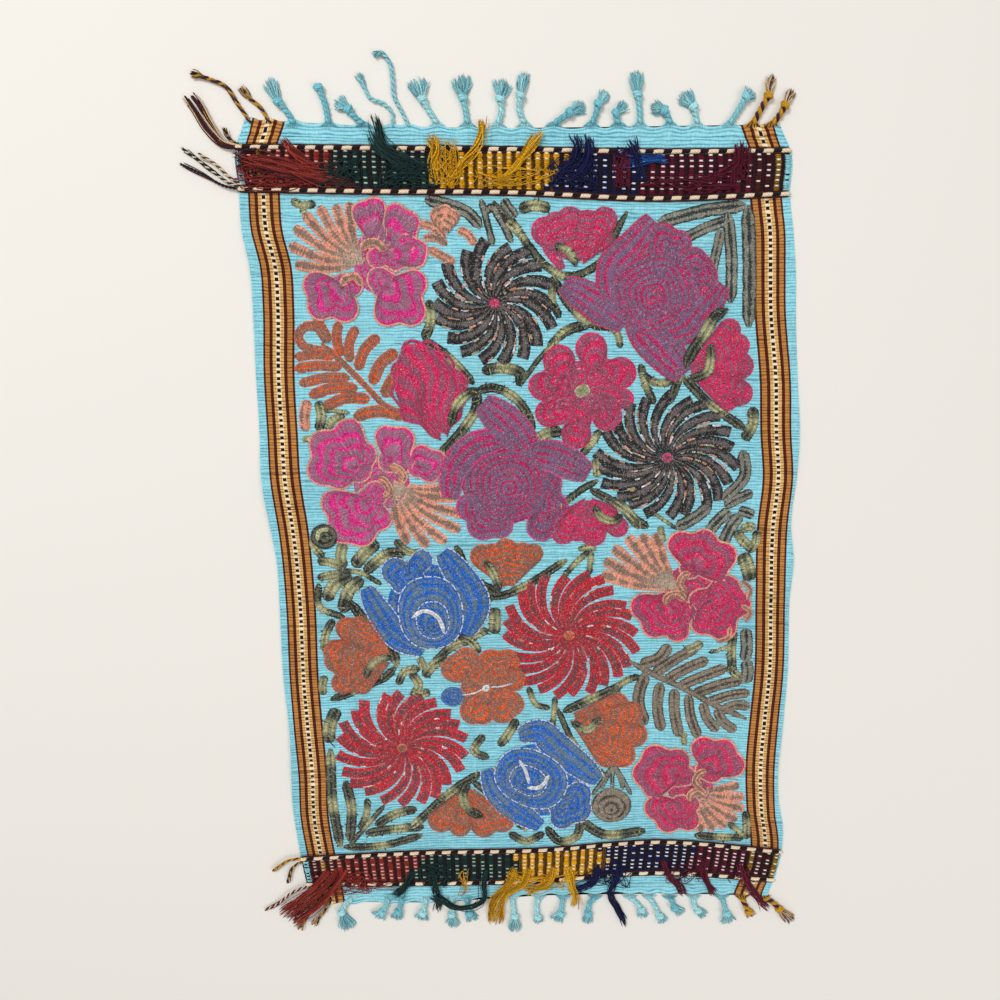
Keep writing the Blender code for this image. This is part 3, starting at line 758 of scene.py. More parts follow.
def rib_sheet(mesh, start, end, columns, scallop=None):
    """Closed ribbed sheet between two places along the warps."""
    ribs = round(abs(end - start) / RIB_PITCH)
    steps = np.arange(ribs * RIB_POINTS + 1) / RIB_POINTS
    across = np.sin(np.pi / 2 * np.linspace(-1, 1, columns))
    low_across = np.linspace(1, -1, 5)
    along = np.linspace(start, end, len(steps))[:, None]
    swell = np.sqrt(np.abs(np.sin(np.pi * steps)))[:, None]
    top = place(across[None], along)
    sway = np.zeros((ribs + 1, columns))
    for waves, size in RIB_SWAYS:
        turns = rng.uniform(0, 2 * np.pi, (ribs + 1, 1))
        drift = rng.normal(0, size, (ribs + 1, 1))
        sway += drift * np.sin(waves * across[None] + turns)
    rib_at = np.clip(np.round(steps).astype(int), 0, ribs)
    keep = np.clip(np.minimum(steps, ribs - steps), 0, 1)[:, None]
    top[..., 1] += sway[rib_at] * keep
    edge = np.abs(across[None]) > 0.999
    top[..., 0] += (swell - 0.6) * SELVAGE_BULGE * edge * np.sign(across[None])
    size = rng.uniform(*RIB_SIZES, ribs + 1)[np.minimum(steps.astype(int), ribs)][:, None]
    top[..., 2] += CLOTH_THICKNESS - RIB_HEIGHT * RIB_SUNK + RIB_HEIGHT * swell * size
    top[..., 2] += pucker(top[..., 0], top[..., 1])
    low = place(low_across[None], along)
    low[..., 0] -= np.sign(low_across) * 0.4 * (np.abs(low_across) > 0.9)
    low[..., 2] += UNDERSIDE
    if scallop is not None:
        outer = np.clip((steps / ribs - 0.5) * 2, 0, 1)[:, None]
        top[..., 1] += outer * scallop(top[..., 0])
        low[..., 1] += outer * scallop(low[..., 0])
    first, last = top[[0]].copy(), top[[-1]].copy()
    first[..., 2] = UNDERSIDE
    last[..., 2] = UNDERSIDE
    top = np.concatenate((first, top, last))
    low = np.concatenate((low[[0]], low, low[[-1]]))
    ring = np.concatenate((top, low, top[:, :1]), axis=1)
    inset = stripe_inset(ring[..., 0], np.concatenate((along[:1], along, along[-1:])))
    ribs_at = np.concatenate((steps[:1], steps, steps[-1:])) + start / RIB_PITCH
    turns = np.broadcast_to(ribs_at[:, None], ring.shape[:2])
    faces = grid_faces(ring.shape[0], ring.shape[1])
    if end < start:
        faces = faces[..., ::-1]
    mesh.add(ring, faces, BLUE_TOP, inset.ravel(), turns.ravel())


# Camera and picture
camera_data = bpy.data.cameras.new("camera")
camera_data.sensor_width = SENSOR_WIDTH
camera_data.lens = FOCAL_PIXELS * SENSOR_WIDTH / PICTURE_WIDTH
camera_data.clip_start = NEAREST_SEEN
camera = bpy.data.objects.new("camera", camera_data)
camera.location = (AIM_X * MM, (AIM_Y + CAMERA_DISTANCE * math.sin(CAMERA_TILT)) * MM,
                   CAMERA_DISTANCE * math.cos(CAMERA_TILT) * MM)
camera.rotation_euler = (-CAMERA_TILT, 0, 0)
bpy.context.scene.collection.objects.link(camera)
bpy.context.scene.camera = camera
bpy.context.scene.view_settings.view_transform = "Standard"

# Pale floor and soft studio light
floor_mesh = bpy.data.meshes.new("floor")
floor_corners = [(-FLOOR_SIDE, -FLOOR_SIDE, 0), (FLOOR_SIDE, -FLOOR_SIDE, 0),
                 (FLOOR_SIDE, FLOOR_SIDE, 0), (-FLOOR_SIDE, FLOOR_SIDE, 0)]
floor_mesh.from_pydata(floor_corners, [], [(0, 1, 2, 3)])
floor = bpy.data.objects.new("floor", floor_mesh)
floor.location.z = -FLOOR_DEPTH
bpy.context.scene.collection.objects.link(floor)
floor_finish = bpy.data.materials.new("pale floor")
floor_finish.use_nodes = True
floor_shader = floor_finish.node_tree.nodes["Principled BSDF"]
floor_shader.inputs["Base Color"].default_value = FLOOR_COLOUR
floor_shader.inputs["Roughness"].default_value = 0.8
floor_mesh.materials.append(floor_finish)

for number, (x, y, z, side, watts) in enumerate(LIGHTS):
    light_data = bpy.data.lights.new(f"softbox {number}", "AREA")
    light_data.size = side
    light_data.energy = watts
    light = bpy.data.objects.new(f"softbox {number}", light_data)
    light.location = (x, y, z)
    bpy.context.scene.collection.objects.link(light)
    light.rotation_euler = light.location.to_track_quat("Z", "Y").to_euler()
world = bpy.data.worlds.new("studio")
world.use_nodes = True
background = world.node_tree.nodes["Background"]
background.inputs["Color"].default_value = WORLD_COLOUR
background.inputs["Strength"].default_value = WORLD_LIGHT
bpy.context.scene.world = world


def close(piece):
    """Weld the seams of a sheet and fill its two ends, so that it is one closed body."""
    bm = bmesh.new()
    bm.from_mesh(piece.data)
    bmesh.ops.remove_doubles(bm, verts=bm.verts[:], dist=WELD_REACH)
    bmesh.ops.holes_fill(bm, edges=[edge for edge in bm.edges if edge.is_boundary])
    bm.to_mesh(piece.data)
    bm.free()


# Ground cloth and its fringed ends
ground = ground_finish()
sheet = Mesh()
rib_sheet(sheet, BOTTOM_OUTER_CORD, TOP_OUTER_CORD, GROUND_COLUMNS)
cloth = sheet.make("cloth_ground", ground, "ground_cloth", "cloth")
close(cloth)


def scallop_of(tassels, loose, outwards):
    """How far the fringe edge is drawn out at the tassels' roots."""
    roots = [row[0] for row in tassels] + [points[0][0] for points in loose]

    def scallop(x):
        pull = [np.exp(-((x - root) / SCALLOP_REACH) ** 2) for root in roots]
        return outwards * SCALLOP_DEPTH * np.max(pull, axis=0)

    return scallop


ends = []

# Fringed ends: name, places of the outer cord and of the end along the warps, tassels, cords with
# no knot, and the direction outwards
FRINGES = (
    ("top", TOP_OUTER_CORD, TOP_END, TOP_TASSELS, TOP_LOOSE_CORDS, 1),
    ("bottom", BOTTOM_OUTER_CORD, BOTTOM_END, BOTTOM_TASSELS, BOTTOM_LOOSE_CORDS, -1),
)
for end_name, cord_along, end_along, tassels, loose, outwards in FRINGES:
    strip = Mesh()
    rib_sheet(strip, cord_along + 0.2 * outwards, end_along, STRIP_COLUMNS,
              scallop_of(tassels, loose, outwards))
    ends.append(strip.make("strip_" + end_name, ground, "fringe_yarn", "fringe_" + end_name))
    close(ends[-1])


def bundle(mesh, path, colours, yarns, root, tip, radius, wander=0.5, sides=4):
    """Loose yarns that run together along a path and fan out towards its tip."""
    path = np.asarray(path, dtype=float)
    side, up = axes_along(path)
    share = np.linspace(0, 1, len(path))
    for number in range(yarns):
        angle = rng.uniform(0, 2 * np.pi)
        reach = math.sqrt(rng.uniform(0.05, 1))
        spread = (root + (tip - root) * share) * reach
        swing = angle + rng.normal(0, BUNDLE_TURN) * share
        waves = rng.uniform(0.6, 1.6)
        wave = wander * np.sin(2 * np.pi * (waves * share + rng.uniform()))[:, None] * side
        points = path + (spread * np.cos(swing))[:, None] * side + wave
        points += (BUNDLE_FLAT * spread * np.sin(swing))[:, None] * up
        end = max(4, round(len(path) * rng.uniform(*YARN_LENGTHS)))
        points[:, 2] = np.maximum(points[:, 2], radius + YARN_CLEARANCE)
        colour = colours[number % len(colours)] * rng.uniform(*YARN_SHADES)
        tube(mesh, points[:end], radius * rng.uniform(*YARN_SIZES), colour, sides)


def twisted(mesh, path, colours, radius, offset, pitch, sides=7, phase=0.0, flat=1.0,
            narrow=1.0):
    """A cord of plies wound around each other along a path, pressed flat and narrow."""
    path = np.asarray(path, dtype=float)
    for number, colour in enumerate(colours):
        ply = wound(path, offset, pitch, phase + number / len(colours))
        ply[:, 2] = path[:, 2] + (ply[:, 2] - path[:, 2]) * flat
        ply[:, 1] = path[:, 1] + (ply[:, 1] - path[:, 1]) * narrow
        shown = colour * rng.uniform(0.92, 1.08)
        tube(mesh, ply, radius * (1.04 - 0.08 * number), shown, sides)


cotton = yarn("plied cotton", roughness=0.85, specular=0.2, sheen=0.08, fibres=5.0,
              fibre_length=2.6, depth=0.25, grain=1500.0)
floss = yarn("loose floss", roughness=0.8, specular=0.18, sheen=0.06, fibres=3.0,
             fibre_length=3.0, depth=0.15, grain=1800.0)
warp_yarn = yarn("twisted warps", roughness=0.9, specular=0.15, sheen=0.3, fibres=4.0,
                 fibre_length=3.2, depth=0.25, grain=1500.0)

# Yarns of the upper cord's first ends, which have opened
OPENED_YARNS = (MAROON, GOLD, MAROON, BROWN, CREAM, MAROON)

# Weft cords: name, place along the warps, yarns' loose ends and their colours
CORDS = (
    ("top_outer", TOP_OUTER_CORD, TOP_OUTER_ENDS, (GOLD, MAROON, BLACK)),
    ("top_inner", TOP_INNER_CORD, TOP_INNER_ENDS, (BLACK, CREAM, MAROON)),
    ("bottom_inner", BOTTOM_INNER_CORD, BOTTOM_INNER_ENDS, (GOLD, MAROON)),
    ("bottom_outer", BOTTOM_OUTER_CORD, BOTTOM_OUTER_ENDS, (PLUM, CREAM)),
)
for cord_name, along, loose_ends, shown in CORDS:
    cord = Mesh()
    path = place(np.linspace(-CORD_OVERHANG, CORD_OVERHANG, CORD_POINTS), along, CORD_LIE)
    twisted(cord, path, (CREAM, CORD_DARK), CORD_PLY_RADIUS, CORD_PLY_OFFSET, CORD_PLY_LENGTH,
            phase=0.1, flat=CORD_FLAT, narrow=CORD_NARROW)
    for across_side in (-1, 1):
        line = path[::2] + (0, SIDE_YARN_OUT * across_side, SIDE_YARN_UP)
        line[:, 1] += 0.15 * np.sin(line[:, 0] / 3)
        tube(cord, line, SIDE_YARN_RADIUS, MAROON, sides=5)
    for number, points in enumerate(loose_ends):
        way = curve_through(points, 1.2)
        if cord_name == "top_outer" and number < OPENED_ENDS:
            bundle(cord, way, OPENED_YARNS, yarns=18, root=1.4, tip=3.0, radius=0.7)
            continue
        first = shown[number % len(shown)]
        second = shown[(number + 1) % len(shown)]
        twisted(cord, way, (first, second), END_PLY_RADIUS, END_PLY_OFFSET, END_PLY_LENGTH, 5)
        bundle(cord, way[len(way) // 3:], [first], yarns=4, root=0.8, tip=2.4, radius=0.4)
    cord.make("plied_" + cord_name, cotton, "weft_cord", "cord_" + cord_name)


# Colour blocks of the brocaded bands: yarn and dash colours, and the pixel columns where the
# block starts at the band's upper side, middle and lower side
TOP_BLOCKS = (
    (RUSSET, DUSTY_PINK, 225, 225, 225),
    (DARK_GREEN, PALE_GREEN, 330, 342, 354),
    (GOLD, CREAM, 452, 446, 438),
    (NAVY, WHITE, 577, 560, 541),
    (PLUM, WHITE, 648, 644, 640),
)
BOTTOM_BLOCKS = (
    (RUSSET, DUSTY_PINK, 280, 280, 280),
    (DARK_GREEN, PALE_GREEN, 428, 418, 408),
    (GOLD, CREAM, 506, 524, 508),
    (NAVY, WHITE, 592, 612, 594),
    (PLUM, WHITE, 692, 690, 686),
)


def brocade(low_cord, high_cord, blocks, middle_row):
    """Floats of supplementary weft in columns between dark warps, in blocks of colour."""
    mesh = Mesh()
    low, high = low_cord + CLEAR_OF_CORD, high_cord - CLEAR_OF_CORD
    across = np.linspace(-0.99, 0.99, 90)
    # A dark sheet under the floats, painted shadow that shows between them
    base = place(across[None], np.linspace(low, high, 12)[:, None],
                 CLOTH_THICKNESS + BROCADE_SHADOW_HEIGHT)
    mesh.add(base, grid_faces(*base.shape[:2]), BAND_SHADOW, 0.0, 0.0)
    width = side_lines(EDGES, (low + high) / 2)
    columns = round((width[1] - width[0]) / FLOAT_PITCH)
    starts = [on_cloth(np.array(row[2:]), middle_row)[:, 0] for row in blocks]

    def block_at(x, share):
        bounds = [np.interp(1 - share, (0, 0.5, 1), start) for start in starts]
        return blocks[max(0, int(np.searchsorted(bounds, x)) - 1)]

    for column in range(columns):
        middle = 2 * (column + 0.5) / columns - 1 + rng.normal(0, COLUMN_DRIFT)
        x_middle = place(middle, (low + high) / 2)[0]
        inset = float(stripe_inset(x_middle, (low + high) / 2))
        gap = middle - 1.0 / columns
        dark = WARP_DARK * 0.9 + block_at(x_middle, 0.5)[0] * 0.14
        for line in DARK_WARPS:
            side_at = np.clip(gap + line * 2 / columns * DARK_WARP_SPREAD, -0.995, 0.995)
            warp = place(side_at, np.linspace(low - 1, high + 1, 14), BROCADE_LOW + 0.15)
            warp[:, 0] += rng.normal(0, WARP_DRIFT, len(warp))
            tube(mesh, warp, DARK_WARP_RADIUS, dark * rng.uniform(0.6, 1.4), sides=4)
        for row in range(FLOAT_ROWS):
            share = (row + 0.5) / FLOAT_ROWS
            yarn_colour, dash_colour = block_at(x_middle, share)[:2]
            if inset < STRIPE_WIDTH:
                yarn_colour = (BROWN, MAROON, GOLD * 0.4)[column % 3] * rng.uniform(0.7, 1.1)
            if inset < 0:
                yarn_colour, dash_colour = BLUE_TOP, BLACK
            pitch = (high - low) / FLOAT_ROWS
            radius = FLOAT_YARN_RADIUS * pitch
            centre = low + pitch * (row + 0.5) + rng.normal(0, ROW_DRIFT)
            dashed = rng.uniform() < DASH_SHARE
            for yarn_at in FLOAT_YARNS:
                reach = FLOAT_HALF * rng.uniform(0.85, 1.25)
                stations = middle + reach * np.array([-1.0, -0.6, 0.6, 1.0])
                line = place(stations, centre + yarn_at * pitch, BROCADE_LOW)
                line[:, 2] += (0.0, FLOAT_RISE, FLOAT_RISE + 0.05, 0.0)
                tube(mesh, line, radius, yarn_colour * rng.uniform(0.75, 1.25), sides=5)
            if dashed:
                stations = middle + FLOAT_HALF * np.array([-0.72, -0.5, 0.5, 0.72])
                line = place(stations, centre + 0.5 * pitch, BROCADE_LOW + 0.3)
                line[:, 2] += (0.0, FLOAT_RISE, FLOAT_RISE, 0.0)
                tube(mesh, line, radius + DASH_FULLER, dash_colour * rng.uniform(0.85, 1.1),
                     sides=5)
    return mesh


# Yarn colours of the bands' loose tails, in the order of their tables
TOP_TAIL_COLOURS = (
    RUSSET, RUSSET, MAROON, RUSSET, DARK_GREEN, DARK_GREEN, GOLD, GOLD, GOLD, NAVY, NAVY, NAVY,
    PLUM,
)
BOTTOM_TAIL_COLOURS = (
    RUSSET, RUSSET, RUSSET, DARK_GREEN, DARK_GREEN, DARK_GREEN, GOLD, GOLD, GOLD, GOLD, NAVY,
    NAVY, PLUM, PLUM, PLUM,
)


def tails(mesh, table, colours):
    """The bands' loose yarn tails as bundles of floss."""
    for points, colour in zip(table, colours):
        way = curve_through(points, TAIL_STEP)
        second = colour * 1.5 + 0.006
        bundle(mesh, way, [colour, second, colour * 0.7], TAIL_YARNS, TAIL_ROOT, TAIL_TIP,
               TAIL_YARN_RADIUS, wander=1.4, sides=3)
        bundle(mesh, way, [second], STRAY_YARNS, TAIL_ROOT, STRAY_TIP, STRAY_RADIUS, wander=3.0,
               sides=3)


def tangle(mesh, colour, left, top, right, bottom, yarns):
    """Loose yarns that wander over a part of the cloth, given by its pixel bounds."""
    for _ in range(yarns):
        turns = rng.integers(7, 13)
        u = rng.uniform(left, right, turns)
        v = rng.uniform(top, bottom, turns)
        order = np.argsort(u + rng.normal(0, 0.3 * (right - left), turns))
        flat = on_cloth(u[order], v[order])
        heights = rng.uniform(4.6, 6.6, turns)
        way = curve_through(np.column_stack((flat, heights)), 2.2)
        tube(mesh, way, rng.uniform(0.36, 0.52), colour * rng.uniform(0.6, 1.3), sides=3)


# Tangled yarns over the bands: colour, pixel bounds as left, top, right and bottom, yarns
TOP_TANGLES = (
    (RUSSET, 238, 166, 330, 190, 11), (MAROON, 238, 150, 276, 176, 4),
    (DARK_GREEN, 312, 160, 362, 188, 7), (DARK_GREEN, 380, 160, 436, 190, 10),
    (GOLD, 432, 142, 462, 188, 8), (GOLD, 470, 168, 556, 188, 6),
    (NAVY, 545, 156, 600, 190, 9), (NAVY, 612, 146, 640, 162, 4),
    (CLEAR_BLUE, 622, 156, 668, 168, 4), (PLUM, 612, 150, 630, 192, 6),
    (PLUM, 640, 178, 740, 192, 5), (PLUM, 728, 146, 748, 190, 8),
)
BOTTOM_TANGLES = (
    (RUSSET, 310, 872, 372, 890, 8), (RUSSET, 360, 876, 398, 888, 2),
    (DARK_GREEN, 420, 862, 452, 884, 8), (GOLD, 456, 864, 470, 892, 2),
    (GOLD, 504, 868, 580, 886, 6), (NAVY, 584, 862, 634, 884, 6),
    (PLUM, 664, 862, 706, 880, 4), (PLUM, 724, 862, 750, 882, 3),
)

# Brocaded bands: name, places of the two cords along the warps, colour blocks, the pixel row of
# the band's middle, tails with their colours, and tangles
BANDS = (
    ("top", TOP_INNER_CORD, TOP_OUTER_CORD, TOP_BLOCKS, 172, TOP_BROCADE_TAILS,
     TOP_TAIL_COLOURS, TOP_TANGLES),
    ("bottom", BOTTOM_OUTER_CORD, BOTTOM_INNER_CORD, BOTTOM_BLOCKS, 866, BOTTOM_BROCADE_TAILS,
     BOTTOM_TAIL_COLOURS, BOTTOM_TANGLES),
)
for band, low_cord, high_cord, blocks, middle_row, tail_table, tail_colours, tangles in BANDS:
    woven = brocade(low_cord, high_cord, blocks, middle_row)
    woven.make("brocade_floats_" + band, floss, "brocade_yarn", "brocade_" + band)
    loose = Mesh()
    tails(loose, tail_table, tail_colours)
    for row in tangles:
        tangle(loose, *row)
    loose.make("brocade_tails_" + band, floss, "brocade_yarn", "brocade_" + band)

# Colours of the warps at the fringed ends, in the ground and in the side stripes
WARP_SHADES = (linear(142, 212, 222), linear(172, 230, 236), linear(120, 198, 212))
STRIPE_WARPS = (MAROON, GOLD * 0.75, CREAM * 0.8)


def warps_at(x, y):
    """Colours of the warps that end at a place: the side stripes' or the ground's."""
    if stripe_inset(x, y) < STRIPE_WIDTH:
        return STRIPE_WARPS
    return WARP_SHADES


def tassel(mesh, row, end_along, outwards):
    """Twisted warp ends with their knot and tuft, drawn together from the cloth's edge."""
    root_x, bend_x, bend_y, knot_x, knot_y, tip_x, tip_y, spread = row
    root_y = end_along - outwards * 2.0
    rest = TASSEL_RADIUS * 0.95
    warps = warps_at(root_x, end_along)
    shade = warps[rng.integers(3)] if warps is WARP_SHADES else GOLD * 0.75
    second = shade * 0.9 if warps is WARP_SHADES else MAROON
    for number, at in enumerate(np.linspace(-1, 1, GATHERED_WARPS)):
        start = (root_x + at * GATHER_REACH, end_along - outwards * (2.5 - 1.5 * abs(at)), 1.7)
        middle = (root_x + at * 3.2, end_along + outwards * 3.0, 1.9)
        finish = (bend_x + at * 0.8, bend_y - outwards * 2, rest)
        tube(mesh, curve_through((start, middle, finish), 3.0), GATHERED_RADIUS,
             (shade, second)[number % 2] * rng.uniform(0.8, 1.1), sides=5)
    knot = np.array((knot_x, knot_y, 0.0))
    lean = np.array((tip_x, tip_y, 0.0)) - knot
    way = curve_through(((root_x, root_y + outwards * 4, 2.0), (bend_x, bend_y, rest),
                         (knot_x, knot_y, rest + 0.8)), 1.1)
    twisted(mesh, way, (shade, second), TASSEL_PLY_RADIUS, TASSEL_PLY_OFFSET, TASSEL_PLY_LENGTH)
    axis = unit(lean)
    across = np.array((-axis[1], axis[0], 0.0))
    turn = np.linspace(0, 2 * KNOT_TURNS * np.pi, 22)
    for start_at, size in KNOT_LOOPS:
        ring = knot + (0, 0, rest + 1.2) + axis * (turn[:, None] * KNOT_RISE + KNOT_START)
        ring = ring + across * (size * np.cos(turn + start_at))[:, None]
        ring[:, 2] += size * KNOT_FLAT * np.sin(turn + start_at)
        tube(mesh, ring, KNOT_YARN_RADIUS, shade * rng.uniform(0.95, 1.15), sides=7)
    if not spread:
        return
    for number in range(TUFT_YARNS):
        swing = rng.uniform(-1, 1)
        far = rng.uniform(*TUFT_LENGTHS) - 0.2 * swing**2
        wide = spread * (1.05 if outwards > 0 else 1.5) + 1.2
        start = knot + across * rng.uniform(-1.8, 1.8) + (0, 0, rest + rng.uniform(-1, 1.5))
        middle = knot + lean * 0.45 + across * (wide * swing * 0.75 + rng.normal(0, 0.6))
        middle[2] = rng.uniform(0.8, 4.4)
        tip = knot + lean * far + across * (wide * swing + rng.normal(0, 0.9))
        tip[2] = rng.uniform(0.6, 2.4)
        tube(mesh, curve_through((start, middle, tip), 3.2), rng.uniform(*TUFT_SIZES),
             warps[number % 3] * rng.uniform(0.85, 1.15), sides=4)


for end_name, cord_along, end_along, tassels, loose, outwards in FRINGES:
    fringe = Mesh()
    for row in tassels:
        tassel(fringe, row, end_along, outwards)
    for points in loose:
        heights = [1.8] + [2.4] * (len(points) - 1)
        way = curve_through([(x, y, z) for (x, y), z in zip(points, heights)], 1.1)
        warps = warps_at(points[0][0], end_along)
        twisted(fringe, way, warps[:2], radius=1.0, offset=1.0, pitch=11.0, sides=6)
        bundle(fringe, way, warps, yarns=6, root=0.9, tip=2.6, radius=0.45)
        bundle(fringe, way[-14:], warps, yarns=12, root=1.2, tip=5.0, radius=0.45)
    fringe.make("fringe_tassels_" + end_name, warp_yarn, "fringe_yarn", "fringe_" + end_name)


# Embroidery threads: the thread's colour, the colour of the bobbin thread that shows between,
# and how much of a band's width the bobbin thread takes
THREADS = {
    "magenta": (linear(242, 28, 146), linear(172, 108, 140), 0.56),
    "salmon": (linear(252, 166, 136), linear(150, 118, 102), 0.46),
    "peach": (linear(250, 184, 156), linear(200, 150, 130), 0.1),
    "purple": (linear(204, 14, 104), linear(134, 92, 132), 0.66),
    "crimson": (linear(236, 14, 100), linear(168, 76, 112), 0.52),
    "red": (linear(210, 4, 44), linear(128, 58, 66), 0.36),
    "black": (linear(10, 10, 14), linear(104, 97, 97), 0.36),
    "blue": (linear(0, 108, 208), linear(96, 128, 156), 0.42),
    "orange": (linear(244, 96, 24), linear(160, 106, 86), 0.62),
    "white": (linear(246, 248, 252), linear(220, 224, 234), 0.2),
    "leaf": (linear(12, 24, 22), linear(92, 98, 74), 0.4),
    "grey": (linear(36, 50, 50), linear(142, 142, 128), 0.55),
    "brown": (linear(80, 68, 54), linear(146, 132, 114), 0.62),
    "cream": (linear(214, 212, 158), linear(160, 160, 122), 0.5),
    "shadow": (linear(8, 16, 15), linear(16, 28, 24), 0.3),
}
PALE_LEAF = linear(214, 212, 156)
BEIGE = linear(206, 188, 164)
PALE_SPECK = linear(236, 218, 204)
FLECK_THREADS = ("salmon", "white", "peach", "cream")

# Points across a band: places from one edge to the other, and shares of its swell
ACROSS_STRIP = np.array((0.0, 0.2, 0.5, 0.8, 1.0))
STRIP_RISE = np.array((0.0, 0.78, 1.0, 0.78, 0.0))


def flat_axes(path):
    """Forward and left directions at each point of a flat path."""
    ahead = unit(np.gradient(path, axis=0))
    return ahead, np.stack((-ahead[:, 1], ahead[:, 0]), axis=1)


class Embroidery(Mesh):
    """Satin-stitched bands that lie on the cloth."""

    def __init__(self):
        super().__init__()
        self.unders = []

    def strip(self, first, second, thread, level=0.0, closed=False, shade=1.0, tint=None):
        """A band of stitches from one edge line to the other, both in millimetres on the cloth; a
        tint is a colour and its share at each point."""
        colour, under, share = THREADS[thread]
        runs = lengths_along((first + second) / 2)
        count = max(3, round(runs[-1] / STRIP_STEP) + 1)
        stations = np.linspace(0, runs[-1], count)
        first = np.stack([np.interp(stations, runs, first[:, k]) for k in (0, 1)], axis=1)
        second = np.stack([np.interp(stations, runs, second[:, k]) for k in (0, 1)], axis=1)
        across = second - first
        width = np.linalg.norm(across, axis=1, keepdims=True)
        ragged = rng.uniform(*STITCH_OUT, (count, 2)) / np.maximum(width, 0.8)
        if closed:
            ragged[-1] = ragged[0]
        first = first - across * ragged[:, :1]
        second = second + across * ragged[:, 1:]
        flat = first[:, None] + (second - first)[:, None] * ACROSS_STRIP[None, :, None]
        rise = np.clip(width * BAND_SWELL, *SWELL_LIMITS) * STRIP_RISE
        rise = rise * rng.uniform(0.95, 1.05, (count, 1))
        height = cloth_top(flat[..., 0], flat[..., 1]) + BAND_LIFT + level + rise
        points = np.concatenate((flat, height[..., None]), axis=-1)
        tone = shade * rng.uniform(0.88, 1.1)
        total = count * len(ACROSS_STRIP)
        shown = np.tile(colour * tone, (total, 1))
        beneath = np.tile(under * rng.uniform(0.9, 1.12), (total, 1))
        if tint is not None:
            part = np.repeat(np.interp(stations, runs, tint[1]), len(ACROSS_STRIP))[:, None]
            shown = shown * (1 - 0.6 * part) + tint[0] * 0.6 * part
            beneath = beneath * (1 - part) + tint[0] * part
        alpha = np.full((total, 1), np.clip(share * rng.uniform(0.75, 1.2), 0.1, 0.95))
        started = np.repeat(stations, len(ACROSS_STRIP)) + rng.uniform(0, 400)
        turns = np.tile(2 * ACROSS_STRIP - 1, count)
        faces = grid_faces(count, len(ACROSS_STRIP))[..., ::-1]
        self.add(points, faces, shown, started, turns)
        self.unders.append(np.concatenate((beneath, alpha), axis=1))

    def band(self, path, width, thread, level=0.0, **more):
        """A band of one width, or of a width for each point, along a path."""
        _, side = flat_axes(path)
        half = np.broadcast_to(width, len(path))[:, None] / 2
        self.strip(path + side * half, path - side * half, thread, level, **more)

    def line(self, path, width, thread, level):
        """A thin line of thread along an edge, in long stitches if it is white."""
        if thread != "white":
            self.band(path, width, thread, level)
            return
        for start in range(0, len(path) - WHITE_STITCH + 1, WHITE_STITCH):
            self.band(path[start:start + WHITE_STITCH], WHITE_EDGE, thread, level)

    def make(self, name, material, body_slot, *nodes):
        """The piece, with the bobbin thread's colour and share at each point."""
        piece = super().make(name, material, body_slot, *nodes)
        data = piece.data.attributes.new("under", "FLOAT_COLOR", "POINT")
        data.data.foreach_set("color", np.concatenate(self.unders).ravel())
        return piece


def embroidery_finish():
    """Satin stitches across each band, thread beside thread, with bobbin thread in between."""

    def stitch(tree):
        slanted = maths(tree, "ADD", read(tree, "run"),
                        maths(tree, "MULTIPLY", read(tree, "turn"), 0.35))
        return maths(tree, "DIVIDE", slanted, THREAD_PITCH)

    def chance(tree, seed):
        node = tree.nodes.new("ShaderNodeTexWhiteNoise")
        node.noise_dimensions = "1D"
        cell = maths(tree, "ADD", maths(tree, "FLOOR", stitch(tree)), seed)
        tree.links.new(cell, node.inputs["W"])
        return node.outputs["Value"]

    def roundness(tree):
        return maths(tree, "SINE", maths(tree, "MULTIPLY", maths(tree, "FRACT", stitch(tree)),
                                         math.pi))

    def height(tree):
        fine = noise(tree, 1800.0)
        return maths(tree, "ADD", roundness(tree), maths(tree, "MULTIPLY", fine, 0.5))

    def colour(tree):
        from_middle = maths(tree, "ABSOLUTE", read(tree, "turn"))
        drift = spread_over(tree, noise(tree, 100.0), -0.3, 0.3, 0.32, 0.68)
        loose = spread_over(tree, chance(tree, 0.5), -0.18, 0.18)
        reach = maths(tree, "ADD", read(tree, "under", "Alpha"),
                      maths(tree, "ADD", drift, loose))
        inside = spread_over(tree, maths(tree, "SUBTRACT", reach, from_middle), 0.0, 1.0,
                             -0.1, 0.12)
        mixed = blend(tree, inside, read(tree, "thread", "Color"), read(tree, "under", "Color"))
        grain = noise(tree, 950.0, detail=1.0)
        specks = spread_over(tree, grain, 0.0, 0.6, 0.6, 0.75)
        flecked = blend(tree, specks, mixed, PALE_SPECK)
        # Painted shade: dark specks where the fine noise is low, as in the gaps between threads
        gap_shade = spread_over(tree, grain, 0.35, 1.0, 0.30, 0.47)
        # Each stitch's tone varies at random; its rounded profile adds painted shade at its sides
        # and a painted highlight on its top
        stitches = maths(tree, "MULTIPLY", spread_over(tree, chance(tree, 7.5), 0.74, 1.3),
                         spread_over(tree, roundness(tree), 0.66, 1.12))
        return blend(tree, 1.0, flecked, grey(tree, maths(tree, "MULTIPLY", gap_shade, stitches)),
                     "MULTIPLY")

    return finish_of("satin stitches", roughness=0.55, specular=0.4, sheen=0.1, colour=colour,
                     height=height, depth=0.3)


def even_curve(points):
    """Points in pixels of the photograph as an even smooth path on the cloth."""
    columns, rows = np.array(points, dtype=float).T
    return curve_through(on_cloth(columns, rows), CURVE_STEP)


def pixel_size(v):
    """Millimetres on the cloth that one pixel shows at a pixel row."""
    beside = on_cloth(PICTURE_MIDDLE + 1, v)
    return float(np.linalg.norm(beside - on_cloth(PICTURE_MIDDLE, v)))


